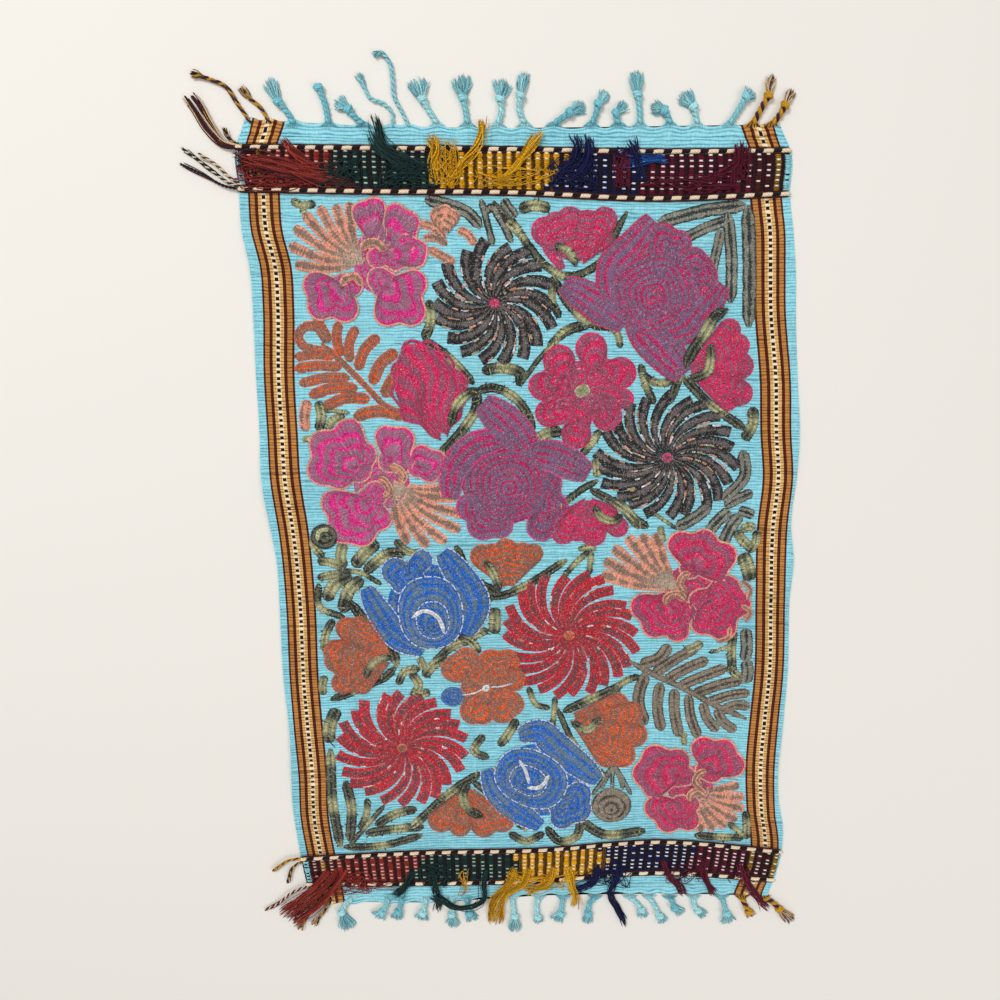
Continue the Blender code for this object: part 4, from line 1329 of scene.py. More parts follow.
def lobed(base, lobes):
    """Outline around round lobes, seen from the base: angles and distances, and the base."""
    centre = on_cloth(*base)
    middles = np.array([on_cloth(u, v) for u, v, r in lobes]) - centre
    radii = np.array([r * pixel_size(v) for u, v, r in lobes])
    far = np.linalg.norm(middles, axis=1)
    bearing = np.arctan2(middles[:, 1], middles[:, 0])
    about = math.atan2(middles[:, 1].sum(), middles[:, 0].sum())
    turn = (bearing - about + np.pi) % (2 * np.pi) - np.pi
    half = np.arcsin(np.clip(radii / np.maximum(far, radii * 1.0001), 0, 0.999))
    angles = np.linspace((turn - half).min(), (turn + half).max(), 140)
    off = angles[:, None] - turn
    inside = radii**2 - (far * np.sin(off)) ** 2
    hit = np.where(inside > 0, far * np.cos(off) + np.sqrt(np.maximum(inside, 0)), 0)
    hit = np.where(np.cos(off) > 0, hit, 0)
    reach = hit.max(axis=1)
    floor_reach = np.interp(angles, np.sort(turn), far[np.argsort(turn)]) * 0.93
    reach = np.maximum(reach, floor_reach)
    kernel = np.array((1, 2, 3, 2, 1)) / 9
    padded = np.concatenate((reach[:1], reach[:1], reach, reach[-1:], reach[-1:]))
    return angles + about, np.convolve(padded, kernel, "valid"), centre


def nested_shares(angles, layers, least):
    """Shares of an outline's reach, as columns over its angles, that waver between its rim and
    its middle."""
    shares = np.linspace(1.0, least, layers + 1)[:, None] * np.ones(len(angles))
    for number in range(1, layers):
        waves = np.sin(rng.integers(2, 4) * angles + rng.uniform(0, 6.3))
        waves += 0.6 * np.sin(rng.integers(4, 7) * angles + rng.uniform(0, 6.3))
        shares[number] += 0.16 / layers * waves
    return shares[..., None]


def nest(mesh, thread, centre, edge, shares, level, closed=False):
    """Bands between an outline's shares, from its rim towards its middle."""
    for outer, inner in zip(shares[:-1], shares[1:]):
        mesh.strip(centre + edge * outer, centre + edge * inner, thread,
                   level + rng.uniform(0, LEVEL_SCATTER), closed=closed)


def bud(mesh, thread, base, lobes, level, outline=None, rays=0):
    """A bud filled with bands that follow its lobed top, nested towards its base, or with a
    number of rays from its base."""
    angles, reach, centre = lobed(base, lobes)
    edge = np.stack((np.cos(angles), np.sin(angles)), axis=1) * reach[:, None]
    if rays:
        share = np.linspace(0.1, 1, 50)
        bent = 0.16 * np.sin(6.5 * share) * (1 - share**3)
        turned = np.stack((np.cos(bent), np.sin(bent)), axis=1)
        cells = np.arange(rays + 1) * (len(angles) - 1) // rays
        lines = []
        for x, y in edge[cells]:
            ray = (x * turned[:, 0] - y * turned[:, 1], x * turned[:, 1] + y * turned[:, 0])
            lines.append(centre + share[:, None] * np.stack(ray, axis=1))
        for number, (first, second) in enumerate(zip(lines[:-1], lines[1:])):
            mesh.strip(second, first, thread, level + 0.1 * (number % 2))
        mesh.band(centre + edge, 2.4, thread, level + 0.2)
        return
    layers = max(2, round(np.median(reach) / BAND_WIDTH))
    nest(mesh, thread, centre, edge, nested_shares(angles, layers, 0.1), level)
    if outline:
        inwards = np.linspace(1, 0.25, 8)[:, None]
        whole = np.concatenate((edge[:1] * inwards[::-1], edge, edge[-1:] * inwards))
        mesh.line(centre + whole, BUD_EDGE, outline, level + 0.25)


def petal(mesh, thread, focus, radius, lobes, level, outline):
    """A petal filled with closed bands nested in its lobed outline around its focus."""
    size = pixel_size(focus[1])
    centre = on_cloth(*focus)
    middles = np.array([on_cloth(u, v) for u, v, r in lobes]) - centre
    radii = np.array([r * size for u, v, r in lobes])
    far = np.linalg.norm(middles, axis=1)
    bearing = np.arctan2(middles[:, 1], middles[:, 0])
    angles = np.linspace(-np.pi, np.pi, 121)
    off = angles[:, None] - bearing
    inside = radii**2 - (far * np.sin(off)) ** 2
    ahead = (np.cos(off) > 0) | (radii > far)
    hit = np.where((inside > 0) & ahead, far * np.cos(off) + np.sqrt(np.maximum(inside, 0)), 0)
    reach = np.maximum(hit.max(axis=1), radius * size)
    kernel = np.array((1, 2, 3, 4, 3, 2, 1)) / 16
    reach = np.convolve(np.concatenate((reach[-4:-1], reach, reach[1:4])), kernel, "valid")
    edge = np.stack((np.cos(angles), np.sin(angles)), axis=1) * reach[:, None]
    layers = max(2, round(np.median(reach) / BAND_WIDTH + 0.2))
    nest(mesh, thread, centre, edge, nested_shares(angles, layers, 0.01), level, closed=True)
    if outline:
        mesh.line(centre + edge * 1.01, PETAL_EDGE, outline, level + 0.25)


def rings(mesh, thread, centre, across, along, angle, layers, level, square=2.0, outline=(),
          drift=(0, 0)):
    """Closed bands nested in a rounded shape; angle in degrees, sizes in pixels. The inner
    bands drift off its centre."""
    size = pixel_size(centre[1])
    turn = np.linspace(0, 2 * np.pi, 90)
    reach = (np.abs(np.cos(turn)) ** square + np.abs(np.sin(turn)) ** square) ** (-1 / square)
    x = across / 2 * size * reach * np.cos(turn)
    y = along / 2 * size * reach * np.sin(turn)
    tilt = math.radians(angle)
    edge = np.stack((x * math.cos(tilt) - y * math.sin(tilt),
                     x * math.sin(tilt) + y * math.cos(tilt)), axis=1)
    middle = on_cloth(*centre)
    shares = np.linspace(1.0, 0.02, layers + 1)
    away = np.array((drift[0], -drift[1])) * size
    lines = [middle + away * (1 - share) + edge * share for share in shares]
    for number, (outer, inner) in enumerate(zip(lines[:-1], lines[1:])):
        mesh.strip(outer, inner, thread, level + rng.uniform(0, 0.15), closed=True)
        if number in outline:
            mesh.line(outer, RING_EDGE, "white", level + 0.5)


def sheaf(mesh, thread, points, width, count, level, outline):
    """Bands side by side along a path, drawn together at its ends; width in pixels."""
    path = even_curve(points)
    size = pixel_size(points[0][1])
    share = np.linspace(0, 1, len(path))
    swell = SHEAF_ENDS + (1 - SHEAF_ENDS) * np.sin(np.pi * share) ** 0.6
    _, side = flat_axes(path)
    full = (width * size * swell)[:, None]
    sway = SHEAF_WAVE * np.sin(share * 9 + rng.uniform(0, 6))[:, None]
    edges = [path + side * (full * (k / count - 0.5) + sway) for k in range(count + 1)]
    for first, second in zip(edges[:-1], edges[1:]):
        mesh.strip(second, first, thread, level + rng.uniform(0, 0.1))
    if outline:
        for line in (edges[0], edges[-1]):
            mesh.line(line, SHEAF_EDGE, outline, level + 0.3)


def fan(mesh, thread, base, tips, root_width, tip_width, bend):
    """Separate bands that spread from a base to their tips; widths in pixels."""
    for number, (u, v) in enumerate(tips):
        middle = ((base[0] + u) / 2 + bend * (v - base[1]),
                  (base[1] + v) / 2 - bend * (u - base[0]))
        path = even_curve((base, middle, (u, v)))
        share = np.linspace(0, 1, len(path))
        size = pixel_size(v)
        width = size * (root_width + (tip_width - root_width) * share**0.7)
        width = width * np.clip((1.06 - share) * 9, 0.55, 1)
        tint = (BEIGE, np.clip(0.9 - 1.9 * share, 0, 0.8))
        mesh.band(path, width, thread, 0.05 * (number % 2), tint=tint)


def leaf(mesh, thread, points, width, mottle, level=0.0, blunt=0.35):
    """A leaf or stem along a path, drawn in at its ends, split along its midrib if it is wide;
    one that is mottled has stray stitches across it."""
    path = even_curve(points)
    share = np.linspace(0, 1, len(path))
    size = pixel_size(points[0][1])
    swell = np.clip(np.minimum(share, 1 - share) * LEAF_TAPER + blunt, 0, 1)
    full = (width * size * swell)[:, None]
    ahead, side = flat_axes(path)
    tint = None
    if mottle:
        wave = np.cos((share - rng.uniform(0.4, 0.6)) * len(path) * 1.2 / mottle)
        tint = (PALE_LEAF, np.clip(1.15 * wave - 0.25, 0, 0.85))
    if width * size > SPLIT_LEAF_WIDTH:
        edge = side * full / 2
        for first, second in ((path, path - edge), (path + edge, path)):
            mesh.strip(first, second, thread, level, shade=rng.uniform(0.8, 1.2), tint=tint)
    else:
        mesh.band(path, full[:, 0], thread, level, tint=tint)
    if not mottle:
        return
    for at in np.arange(2, len(path) - 2, STRAY_SPACING):
        way = side[at] * rng.choice((-1, 1)) + ahead[at] * rng.uniform(-0.2, 1.0)
        reach = full[at] * rng.uniform(*STRAY_REACHES)
        stitch = path[at] + way * reach * np.linspace(rng.uniform(-0.3, 0.3), 1, 3)[:, None]
        stray_width = rng.uniform(*STRAY_WIDTHS)
        stray = "shadow" if rng.uniform() < DARK_STRAYS else "cream"
        mesh.band(stitch, stray_width, stray, level + STRAY_LEVEL)


def pinwheel(mesh, thread, centre, across, along, arms, twist, dot):
    """Curved arms that swirl out of a dot, a little apart at their blunt tips."""
    middle = on_cloth(*centre)
    size = pixel_size(centre[1])
    share = np.linspace(ARM_START, 1, 40)
    for arm in range(arms):
        start = 2 * np.pi * (arm + rng.uniform(-0.1, 0.1)) / arms
        reach = share * rng.uniform(*ARM_LENGTHS)
        swirl = twist * rng.uniform(0.93, 1.07)
        angle = start - swirl * share**ARM_CURVE
        path = middle + np.stack((across * size * reach * np.cos(angle),
                                  along * size * reach * np.sin(angle)), axis=1)
        slant = np.arctan(ARM_CURVE * swirl * share**ARM_CURVE)
        room = 2 * np.pi * share * (across + along) / 2 * size / arms * np.cos(slant)
        width = np.maximum(room * (ARM_FILL - ARM_TAPER * share**2), LEAST_ARM_WIDTH)
        mesh.band(path, width, thread, 0.1 * (arm % 3))
        _, side = flat_axes(path)
        edge = side * width[:, None] * 0.42
        for fleck in range(DARK_FLECKS if thread == "black" else RED_FLECKS):
            start_at = rng.integers(5, 34)
            part = slice(start_at, start_at + rng.integers(3, 6))
            mesh.band(path[part] + edge[part] * rng.choice((-1, 1)), rng.uniform(0.8, 1.8),
                      FLECK_THREADS[fleck % len(FLECK_THREADS)], FLECK_LEVEL)
    rings(mesh, dot, centre, 10, 9, 0, 1, RING_LEVEL)


# Buds: thread, base and lobes (column, row, radius) in pixels, outline thread
BUDS = (
    ("salmon", (446, 236), ((438, 216, 8), (445, 213, 8), (452, 217, 8)), None),
    ("crimson", (579, 267), ((545, 232, 14), (556, 224, 11), (570, 223, 15), (587, 224, 13),
                             (604, 221, 13), (602, 238, 11)), None),
    ("crimson", (588, 496), ((563, 532, 12), (577, 530, 11), (593, 533, 13), (617, 526, 11),
                             (572, 516, 10), (608, 514, 10)), None),
    ("crimson", (684, 371), ((728, 331, 12), (737, 346, 12), (740, 366, 13), (739, 393, 13),
                             (727, 402, 9)), None),
    ("orange", (393, 658), ((348, 628, 12), (360, 626, 11), (338, 652, 14), (338, 660, 13),
                            (344, 682, 12), (362, 684, 10), (374, 640, 10)), None),
    ("orange", (508, 590), ((482, 556, 12), (492, 552, 9), (506, 551, 13), (522, 552, 10),
                            (533, 553, 10)), None),
    ("orange", (567, 715), ((616, 703, 12), (631, 712, 12), (634, 734, 13), (622, 754, 13),
                            (606, 756, 11)), None),
    ("orange", (468, 784), ((441, 819, 13), (460, 825, 11), (484, 824, 13), (502, 820, 12)),
     None),
)

# Buds of lengthwise bands: thread, base, lobes, bands
RAYED_BUDS = (
    ("crimson", (446, 442), ((412, 412, 11), (404, 392, 12), (402, 372, 10), (413, 352, 11),
                             (428, 354, 12), (441, 367, 13), (454, 384, 13), (454, 400, 11)), 9),
)

# Petals: thread, focus and least radius, lobes (column, row, radius) in pixels, outline thread
PETALS = (
    ("magenta", (372, 240), 9, ((364, 215, 12), (375, 211, 12), (376, 234, 11)), "peach"),
    ("magenta", (389, 240), 10, ((396, 217, 12), (408, 224, 12), (405, 240, 12)), "peach"),
    ("magenta", (386, 256), 10, ((417, 251, 11), (405, 246, 11), (378, 258, 10), (396, 262, 9),
                                 (416, 260, 9)), "peach"),
    ("magenta", (386, 286), 14, ((413, 284, 14), (411, 311, 15), (388, 312, 14), (380, 280, 12)),
     "peach"),
    ("magenta", (344, 288), 13, ((318, 286, 14), (322, 306, 14), (345, 308, 14), (353, 286, 10)),
     "peach"),
    ("magenta", (358, 468), 14, ((350, 434, 15), (325, 445, 15), (323, 470, 15), (340, 476, 13),
                                 (364, 455, 13)), "peach"),
    ("magenta", (390, 461), 11, ((387, 438, 12), (402, 440, 13), (401, 460, 13)), "peach"),
    ("magenta", (418, 467), 10, ((435, 462, 12), (422, 456, 11), (430, 472, 10)), "peach"),
    ("magenta", (370, 501), 14, ((337, 503, 15), (343, 528, 15), (362, 531, 15), (380, 518, 12),
                                 (376, 493, 12)), "peach"),
    ("purple", (668, 250), 18, ((662, 240, 15), (678, 244, 12), (662, 262, 13)), "crimson"),
    ("purple", (696, 270), 16, ((692, 263, 14), (704, 276, 12), (686, 282, 12)), "crimson"),
    ("purple", (486, 514), 19, ((470, 507, 13), (483, 524, 15), (500, 525, 12)), "magenta"),
    ("purple", (544, 504), 19, ((548, 484, 13), (554, 506, 13), (541, 526, 14)), "magenta"),
    ("blue", (408, 574), 13, ((422, 560, 11), (396, 571, 14), (414, 580, 12), (402, 582, 11)),
     "white"),
    ("blue", (563, 803), 15, ((578, 793, 13), (577, 808, 14), (562, 816, 12)), "white"),
    ("crimson", (690, 567), 11, ((681, 545, 14), (703, 543, 14), (722, 556, 14), (716, 572, 11),
                                 (690, 566, 10)), "peach"),
    ("crimson", (706, 600), 13, ((724, 590, 16), (736, 604, 14), (722, 626, 14), (702, 622, 12),
                                 (700, 600, 12)), "peach"),
    ("crimson", (674, 606), 12, ((644, 606, 14), (655, 623, 14), (677, 629, 12), (684, 612, 11),
                                 (664, 602, 11)), "peach"),
    ("crimson", (678, 775), 11, ((655, 757, 14), (646, 772, 14), (655, 785, 13), (676, 760, 13),
                                 (685, 775, 10)), "peach"),
    ("crimson", (706, 768), 11, ((703, 748, 13), (722, 750, 13), (731, 764, 13), (712, 772, 10)),
     "peach"),
    ("crimson", (565, 378), 13, ((559, 361, 16), (542, 386, 14), (567, 382, 12)), None),
    ("crimson", (598, 370), 14, ((591, 349, 16), (620, 373, 16), (594, 380, 12)), None),
    ("crimson", (603, 397), 10, ((624, 399, 10), (612, 396, 12), (592, 393, 10)), None),
    ("crimson", (599, 409), 12, ((607, 416, 15), (592, 402, 10)), None),
    ("crimson", (562, 407), 13, ((549, 413, 14), (559, 410, 15), (572, 400, 10)), None),
    ("crimson", (578, 420), 13, ((576, 434, 15), (582, 406, 12)), None),
    ("orange", (468, 671), 13, ((455, 668, 14), (466, 660, 14), (479, 678, 11)), None),
    ("orange", (499, 671), 13, ((491, 661, 13), (507, 661, 13), (513, 678, 13), (494, 681, 10)),
     None),
    ("orange", (501, 699), 13, ((511, 703, 13), (502, 709, 14), (493, 692, 11)), None),
    ("orange", (476, 704), 13, ((474, 710, 14), (483, 713, 11), (484, 694, 11)), None),
    ("crimson", (680, 804), 11, ((658, 806, 14), (668, 820, 12), (688, 819, 11), (690, 803, 9)),
     "peach"),
)

# Raised crescents around the flowers' middles: thread, width and points in pixels
CRESCENTS = (
    ("white", 4, ((412, 617), (424, 610), (438, 616), (445, 633))),
    ("white", 3.5, ((519, 758), (525, 768), (529, 782))),
    ("white", 4, ((527, 786), (540, 785), (549, 773))),
    ("cream", 4, ((318, 540), (320, 531), (330, 528))),
    ("leaf", 9, ((469, 779), (463, 793), (469, 808), (484, 815))),
    ("leaf", 8, ((571, 721), (587, 728), (600, 716))),
    ("leaf", 9, ((688, 380), (706, 372), (710, 344))),
    ("leaf", 11, ((727, 309), (714, 317), (703, 335), (691, 352), (684, 368))),
    ("leaf", 9, ((450, 426), (458, 403), (477, 388))),
    ("leaf", 8, ((594, 505), (600, 516), (614, 520), (622, 514))),
    ("leaf", 8, ((485, 560), (492, 570), (500, 590))),
    ("white", 1.3, ((462, 694), (474, 692), (483, 688))),
    ("white", 1.3, ((490, 686), (502, 685), (513, 682))),
    ("leaf", 7, ((366, 677), (371, 665), (380, 658), (392, 656))),
    ("leaf", 8, ((554, 246), (568, 252), (576, 266))),
    ("salmon", 5, ((741, 580), (749, 588), (746, 599))),
    ("salmon", 5, ((740, 604), (749, 611), (744, 621))),
    ("salmon", 5, ((716, 641), (727, 636), (729, 625))),
    ("salmon", 8, ((362, 252), (366, 245), (375, 243), (386, 252))),
    ("salmon", 8, ((342, 287), (347, 279), (356, 277), (362, 286))),
    ("salmon", 8, ((390, 466), (398, 468), (404, 476), (400, 484))),
    ("salmon", 8, ((379, 477), (386, 482), (390, 491), (384, 497))),
    ("salmon", 8, ((690, 572), (683, 575), (679, 584), (686, 592))),
    ("salmon", 8, ((664, 604), (667, 596), (676, 593), (685, 600))),
    ("salmon", 8, ((706, 769), (699, 772), (695, 780), (701, 786))),
    ("salmon", 8, ((690, 800), (690, 793), (697, 789), (705, 795))),
)

# Ground of closed bands under the flowers' parts: thread, centre, width, height
GROUNDS = (
    ("purple", (655, 289), 92, 88), ("purple", (506, 482), 88, 84),
    ("magenta", (376, 262), 44, 60), ("magenta", (382, 484), 56, 50),
    ("crimson", (692, 588), 56, 50), ("crimson", (690, 786), 46, 44),
    ("blue", (430, 606), 84, 86), ("blue", (538, 779), 88, 76), ("blue", (453, 696), 24, 20),
    ("crimson", (584, 391), 66, 60), ("orange", (487, 687), 52, 44),
)

# Nested closed bands: thread, centre, width, height, angle, bands, squareness, white lines, drift
RINGS = (
    ("purple", (654, 295), 76, 74, 22, 7, 3.0, (), (-2, 3)),
    ("crimson", (654, 296), 22, 10, 48, 1, 2.0, (), (0, 0)),
    ("purple", (509, 485), 74, 70, 10, 6, 2.6, (), (0, 3)),
    ("crimson", (510, 473), 9, 19, -25, 1, 2.0, (), (0, 0)),
    ("blue", (431, 612), 64, 74, 6, 6, 2.3, (0, 3), (4, 15)),
    ("blue", (531, 777), 74, 58, -28, 6, 2.3, (0, 3), (-6, 4)),
    ("leaf", (325, 536), 27, 25, 0, 2, 2.0, (), (0, 0)),
    ("brown", (611, 804), 39, 36, 0, 3, 2.0, (), (0, 5)),
    ("cream", (582, 391), 16, 12, 25, 1, 4.0, (), (0, 0)),
    ("white", (486, 687), 9, 8, 20, 1, 2.0, (), (0, 0)),
)

# Bands side by side along a path: thread, width, bands, points, outline thread
SHEAVES = (
    ("crimson", 11, 2, ((544, 243), (553, 256), (563, 269)), None),
    ("purple", 29, 3, ((652, 220), (632, 244), (612, 268), (612, 292), (628, 314)), "crimson"),
    ("purple", 29, 3, ((722, 285), (704, 309), (686, 329), (660, 337)), "crimson"),
    ("purple", 32, 4, ((563, 284), (592, 302), (624, 325)), "crimson"),
    ("purple", 38, 4, ((632, 318), (654, 342), (684, 374)), "crimson"),
    ("purple", 36, 4, ((482, 403), (508, 425), (532, 456)), "magenta"),
    ("purple", 32, 4, ((530, 451), (558, 458), (588, 474)), "magenta"),
    ("purple", 28, 3, ((508, 438), (474, 446), (454, 470), (450, 498)), "magenta"),
    ("blue", 27, 3, ((367, 587), (380, 612), (398, 636), (424, 650)), "white"),
    ("blue", 31, 3, ((442, 552), (461, 576), (475, 604), (466, 634)), "white"),
    ("blue", 30, 3, ((519, 734), (539, 731), (557, 746), (574, 760), (598, 779)), "white"),
    ("blue", 26, 3, ((487, 768), (496, 790), (514, 807), (540, 825)), "white"),
)

# Bands that spread from a base: thread, base, widths at the base and at the tips, bend, tips
FANS = (
    ("salmon", (364, 262), 5, 11, 0.08,
     ((296, 265), (290, 246), (295, 228), (305, 214), (320, 207), (336, 205), (350, 203))),
    ("salmon", (394, 482), 5, 11, -0.08,
     ((444, 488), (456, 498), (463, 514), (460, 530), (446, 542), (428, 546), (408, 543))),
    ("salmon", (677, 588), 6, 12, 0.05,
     ((601, 574), (604, 560), (613, 547), (627, 536), (641, 534), (655, 533))),
    ("salmon", (694, 788), 4.5, 10.5, -0.06,
     ((738, 784), (743, 796), (743, 808), (736, 819), (725, 826), (713, 829), (701, 830))),
)

# Pinwheels: thread, centre, half width, half height, arms, twist, dot thread
PINWHEELS = (
    ("black", (494.6, 303.7), 62, 60, 18, 0.75, "crimson"),
    ("black", (667, 457.6), 70, 62, 22, 0.72, "crimson"),
    ("red", (569, 634.7), 69, 64, 24, 0.75, "orange"),
    ("red", (402.5, 746.5), 66, 60, 22, 0.75, "orange"),
)

# Single bands, stems and leaves, in runs of one thread: thread, then the width and points of
# each leaf in pixels
LEAVES = (
    ("salmon",
     (9, (458, 230), (467, 234), (475, 245)), (9, (420, 224), (434, 228), (445, 240)),
     (8, (424, 238), (436, 238), (447, 245)), (9, (429, 249), (441, 256), (455, 263))),
    ("grey",
     (12, (425, 200), (451, 206), (469, 214), (481, 228)),
     (7, (481, 200), (487, 222), (493, 246)), (8, (483, 216), (491, 208), (500, 219), (512, 243)),
     (10, (503, 200), (508, 208), (516, 218))),
    ("leaf",
     (9, (506, 222), (514, 228), (522, 236)), (11, (519, 210), (534, 206), (550, 209)),
     (8, (493, 202), (508, 217), (527, 244), (548, 268), (562, 276),
       (596, 266), (620, 224), (627, 212)),
     (8, (553, 276), (569, 306), (596, 326), (620, 326)), (8, (554, 276), (552, 300), (560, 318)),
     (9, (456, 545), (462, 560), (472, 576), (500, 594)), (8, (398, 684), (405, 671), (420, 668)),
     (9, (606, 498), (622, 506), (636, 520), (648, 527)), (7, (660, 526), (661, 534), (663, 542)),
     (3.5, (652, 512), (664, 520), (677, 529)), (9, (733, 628), (731, 650), (732, 675))),
    ("grey",
     (12, (745, 628), (746, 648), (744, 660)), (12, (745, 660), (747, 670), (745, 682))),
    ("leaf",
     (4, (708, 652), (720, 649), (732, 643)), (8, (726, 666), (735, 673), (744, 680)),
     (8, (331, 699), (351, 692), (369, 684), (386, 676), (396, 666)),
     (8, (326, 675), (323, 684), (324, 694)), (8, (334, 619), (326, 634), (325, 651))),
    ("salmon",
     (11, (308, 400), (305, 415), (306, 431))),
    ("leaf",
     (10, (319, 401), (322, 416), (319, 431)), (6, (303, 440), (308, 439), (314, 437)),
     (4, (324, 411), (336, 411), (350, 413)), (8, (329, 432), (332, 421), (345, 415)),
     (13, (354, 566), (364, 554), (378, 541)),
     (11, (365, 572), (376, 562), (390, 553), (406, 553)),
     (11, (344, 568), (341, 556), (344, 543)), (9, (346, 568), (334, 563), (318, 560)),
     (8, (346, 575), (333, 574), (318, 578)), (13, (352, 575), (336, 583), (326, 600)),
     (13, (363, 578), (350, 589), (343, 612)), (7, (319, 583), (320, 606), (345, 617)),
     (8, (312, 538), (316, 548), (324, 557)), (5, (340, 570), (360, 572), (382, 584)),
     (10, (350, 600), (362, 616), (386, 634), (393, 651), (398, 666))),
    ("grey",
     (12, (676, 527), (692, 519), (709, 506)), (12, (708, 532), (716, 522), (729, 510)),
     (10, (724, 506), (738, 498), (752, 492)), (12, (722, 545), (730, 527), (740, 514)),
     (10, (738, 510), (746, 512), (753, 515))),
    ("leaf",
     (9, (741, 530), (748, 526), (754, 528)), (10, (736, 530), (742, 540), (752, 548)),
     (8, (756, 530), (755, 542), (748, 552)), (14, (742, 553), (747, 566), (750, 580))),
    ("orange",
     (9, (330, 352), (317, 350), (304, 346), (299, 337), (304, 328),
       (314, 326), (322, 333), (325, 343)),
     (10, (316, 316), (322, 328), (330, 342)), (10, (339, 322), (337, 340), (342, 356)),
     (10, (357, 327), (350, 342), (350, 362)), (11, (379, 336), (365, 350), (358, 370)),
     (12, (397, 351), (381, 364), (372, 384)), (12, (409, 366), (394, 378), (384, 397)),
     (9, (295, 357), (316, 355), (336, 356)), (10, (295, 369), (318, 366), (342, 367)),
     (10, (300, 384), (326, 378), (350, 378)), (11, (310, 396), (334, 388), (358, 388)),
     (11, (324, 407), (348, 398), (370, 399)), (12, (354, 417), (378, 411), (405, 416)),
     (6, (322, 344), (340, 360), (366, 386), (386, 406), (404, 414))),
    ("brown",
     (12, (669, 644), (660, 656), (640, 664)), (11, (698, 646), (676, 658), (652, 674)),
     (11, (708, 659), (690, 666), (664, 680)), (11, (726, 667), (702, 676), (678, 686)),
     (11, (742, 679), (720, 684), (692, 694)), (10, (749, 692), (732, 694), (706, 702)),
     (10, (749, 706), (738, 704), (720, 710)), (12, (645, 724), (638, 700), (645, 672)),
     (11, (661, 730), (657, 704), (660, 682)), (11, (679, 736), (674, 710), (674, 688)),
     (10, (698, 737), (690, 715), (688, 694)), (10, (717, 730), (706, 716), (702, 702)),
     (10, (735, 730), (722, 720), (716, 708)),
     (6, (628, 660), (650, 672), (684, 688), (716, 705), (746, 718))),
    ("leaf",
     (8, (582, 324), (566, 330), (548, 348)), (7, (610, 326), (618, 336), (620, 348)),
     (10, (429, 300), (431, 322), (424, 340)), (9, (424, 340), (447, 356), (474, 384)),
     (10, (477, 388), (476, 408), (464, 428), (439, 456)),
     (9, (475, 391), (495, 388), (515, 398), (528, 415), (533, 434)),
     (5, (519, 386), (547, 350), (566, 334), (592, 326)),
     (11, (482, 371), (503, 368), (521, 375), (518, 386)),
     (11, (531, 445), (545, 434), (562, 431)), (8, (600, 430), (592, 442), (581, 455)),
     (8, (595, 458), (596, 466), (597, 477)), (7, (598, 480), (579, 491), (548, 522), (542, 541)),
     (8, (590, 489), (621, 507), (639, 528)), (9, (682, 376), (707, 402), (730, 419), (745, 429)),
     (11, (743, 440), (752, 424), (752, 407)),
     (9, (673, 343), (680, 360), (676, 384), (667, 405)), (8, (640, 364), (645, 384), (654, 404)),
     (8, (641, 374), (654, 382), (668, 382), (674, 372)), (8, (464, 637), (476, 634), (488, 629)),
     (8, (433, 663), (451, 647), (477, 637)), (8, (419, 657), (422, 662), (424, 669)),
     (6, (578, 549), (587, 547), (596, 549)), (6, (589, 550), (576, 562), (563, 576)),
     (6, (591, 551), (590, 562), (589, 574)), (8, (567, 559), (522, 587), (502, 595), (480, 595)),
     (12, (494, 607), (495, 620), (494, 633)), (7, (611, 689), (626, 680), (639, 675)),
     (6, (528, 686), (537, 704), (550, 707)), (6, (555, 696), (554, 712), (552, 727)),
     (6, (557, 707), (573, 741), (603, 774), (607, 778)), (9, (563, 711), (600, 694), (622, 685)),
     (9, (517, 718), (509, 732), (499, 745)), (8, (484, 734), (474, 750), (489, 757)),
     (8, (509, 832), (526, 840), (544, 832)), (9, (546, 826), (560, 840), (577, 834), (580, 819)),
     (10, (580, 819), (600, 832), (645, 830)), (8, (694, 834), (718, 836), (743, 837)),
     (6, (728, 822), (738, 830), (746, 837)), (8, (745, 810), (746, 824), (746, 838)),
     (6, (685, 744), (683, 738), (685, 732)), (9, (702, 642), (693, 647), (684, 650)),
     (13, (338, 708), (331, 722), (329, 742)),
     (9, (410, 828), (428, 812), (446, 795), (469, 779), (482, 772)),
     (7, (472, 780), (498, 800), (526, 830))),
    ("grey",
     (4, (613, 764), (604, 777), (592, 794)), (4, (613, 766), (607, 776), (601, 788)),
     (4, (613, 768), (612, 777), (612, 788)), (4, (614, 766), (619, 776), (623, 788)),
     (4, (614, 764), (622, 777), (631, 794))),
    ("leaf",
     (8, (412, 690), (421, 694), (430, 690)), (9, (411, 672), (419, 684), (413, 696)),
     (10, (424, 676), (434, 664), (447, 656)), (8, (395, 540), (410, 552), (424, 552)),
     (8, (458, 636), (470, 640), (480, 652)), (8, (292, 201), (303, 206), (316, 204)),
     (6, (302, 208), (306, 215), (308, 221))),
    ("grey",
     (13, (657, 224), (700, 212), (745, 206)), (11, (682, 240), (704, 229), (728, 220)),
     (14, (747, 206), (749, 266), (748, 327)), (12, (727, 213), (731, 258), (730, 303)),
     (10, (721, 230), (716, 252), (711, 274)), (12, (742, 450), (744, 475), (722, 500))),
    ("leaf",
     (10, (331, 748), (333, 800), (341, 846)), (10, (346, 780), (352, 808), (350, 840)),
     (7, (368, 797), (367, 812), (360, 828)), (5, (385, 804), (370, 821), (350, 844)),
     (9, (417, 808), (396, 813), (376, 824)), (9, (424, 826), (394, 828), (366, 832)),
     (8, (423, 834), (385, 844), (344, 846))),
)

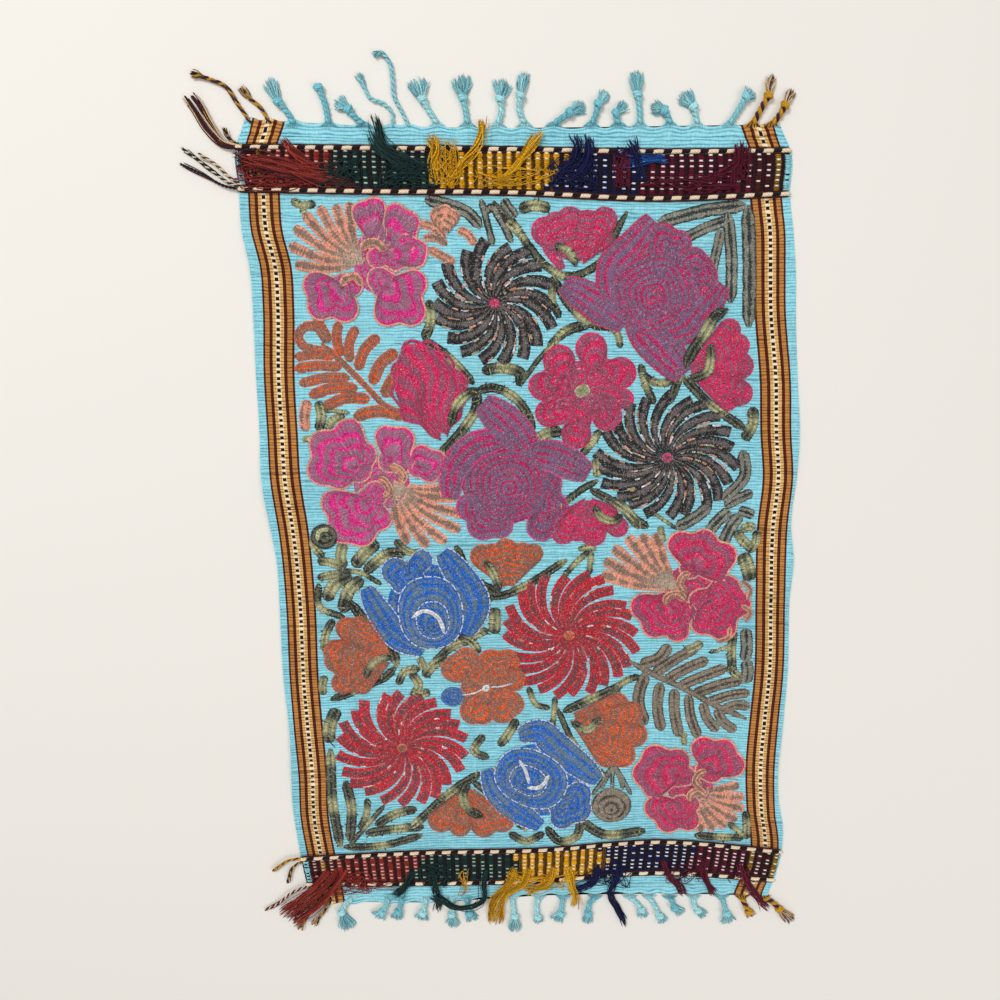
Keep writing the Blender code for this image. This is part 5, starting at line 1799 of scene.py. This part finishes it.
satin = embroidery_finish()
flowers = Embroidery()
for thread, *leaves in LEAVES:
    for width, *points in leaves:
        leaf(flowers, thread, points, width, LEAF_MOTTLE if thread == "leaf" else None)
for thread, base, root_width, tip_width, bend, tips in FANS:
    fan(flowers, thread, base, tips, root_width, tip_width, bend)
flowers.make("embroidery_leaves", satin, "embroidery_thread")
flowers = Embroidery()
for thread, centre, across, along, arms, twist, dot in PINWHEELS:
    pinwheel(flowers, thread, centre, across, along, arms, twist, dot)
flowers.make("embroidery_wheels", satin, "embroidery_thread")
flowers = Embroidery()
for thread, width, count, points, outline in SHEAVES:
    sheaf(flowers, thread, points, width, count, SHEAF_LEVEL, outline)
for thread, centre, across, along, angle, layers, square, white, drift in RINGS:
    rings(flowers, thread, centre, across, along, angle, layers, RING_LEVEL, square,
          white, drift)
flowers.make("embroidery_roses", satin, "embroidery_thread")
flowers = Embroidery()
for thread, base, lobes, outline in BUDS:
    bud(flowers, thread, base, lobes, BUD_LEVEL, outline)
for thread, base, lobes, rays in RAYED_BUDS:
    bud(flowers, thread, base, lobes, RAYED_BUD_LEVEL, rays=rays)
for thread, focus, radius, lobes, outline in PETALS:
    petal(flowers, thread, focus, radius, lobes, PETAL_LEVEL + rng.uniform(0, 0.15), outline)
for thread, centre, across, along in GROUNDS:
    rings(flowers, thread, centre, across, along, 0, 4, GROUND_LEVEL)
for thread, width, points in CRESCENTS:
    leaf(flowers, thread, points, width, CRESCENT_MOTTLE if thread == "leaf" else None,
         CRESCENT_LEVEL, 0.15)
flowers.make("embroidery_petals", satin, "embroidery_thread")
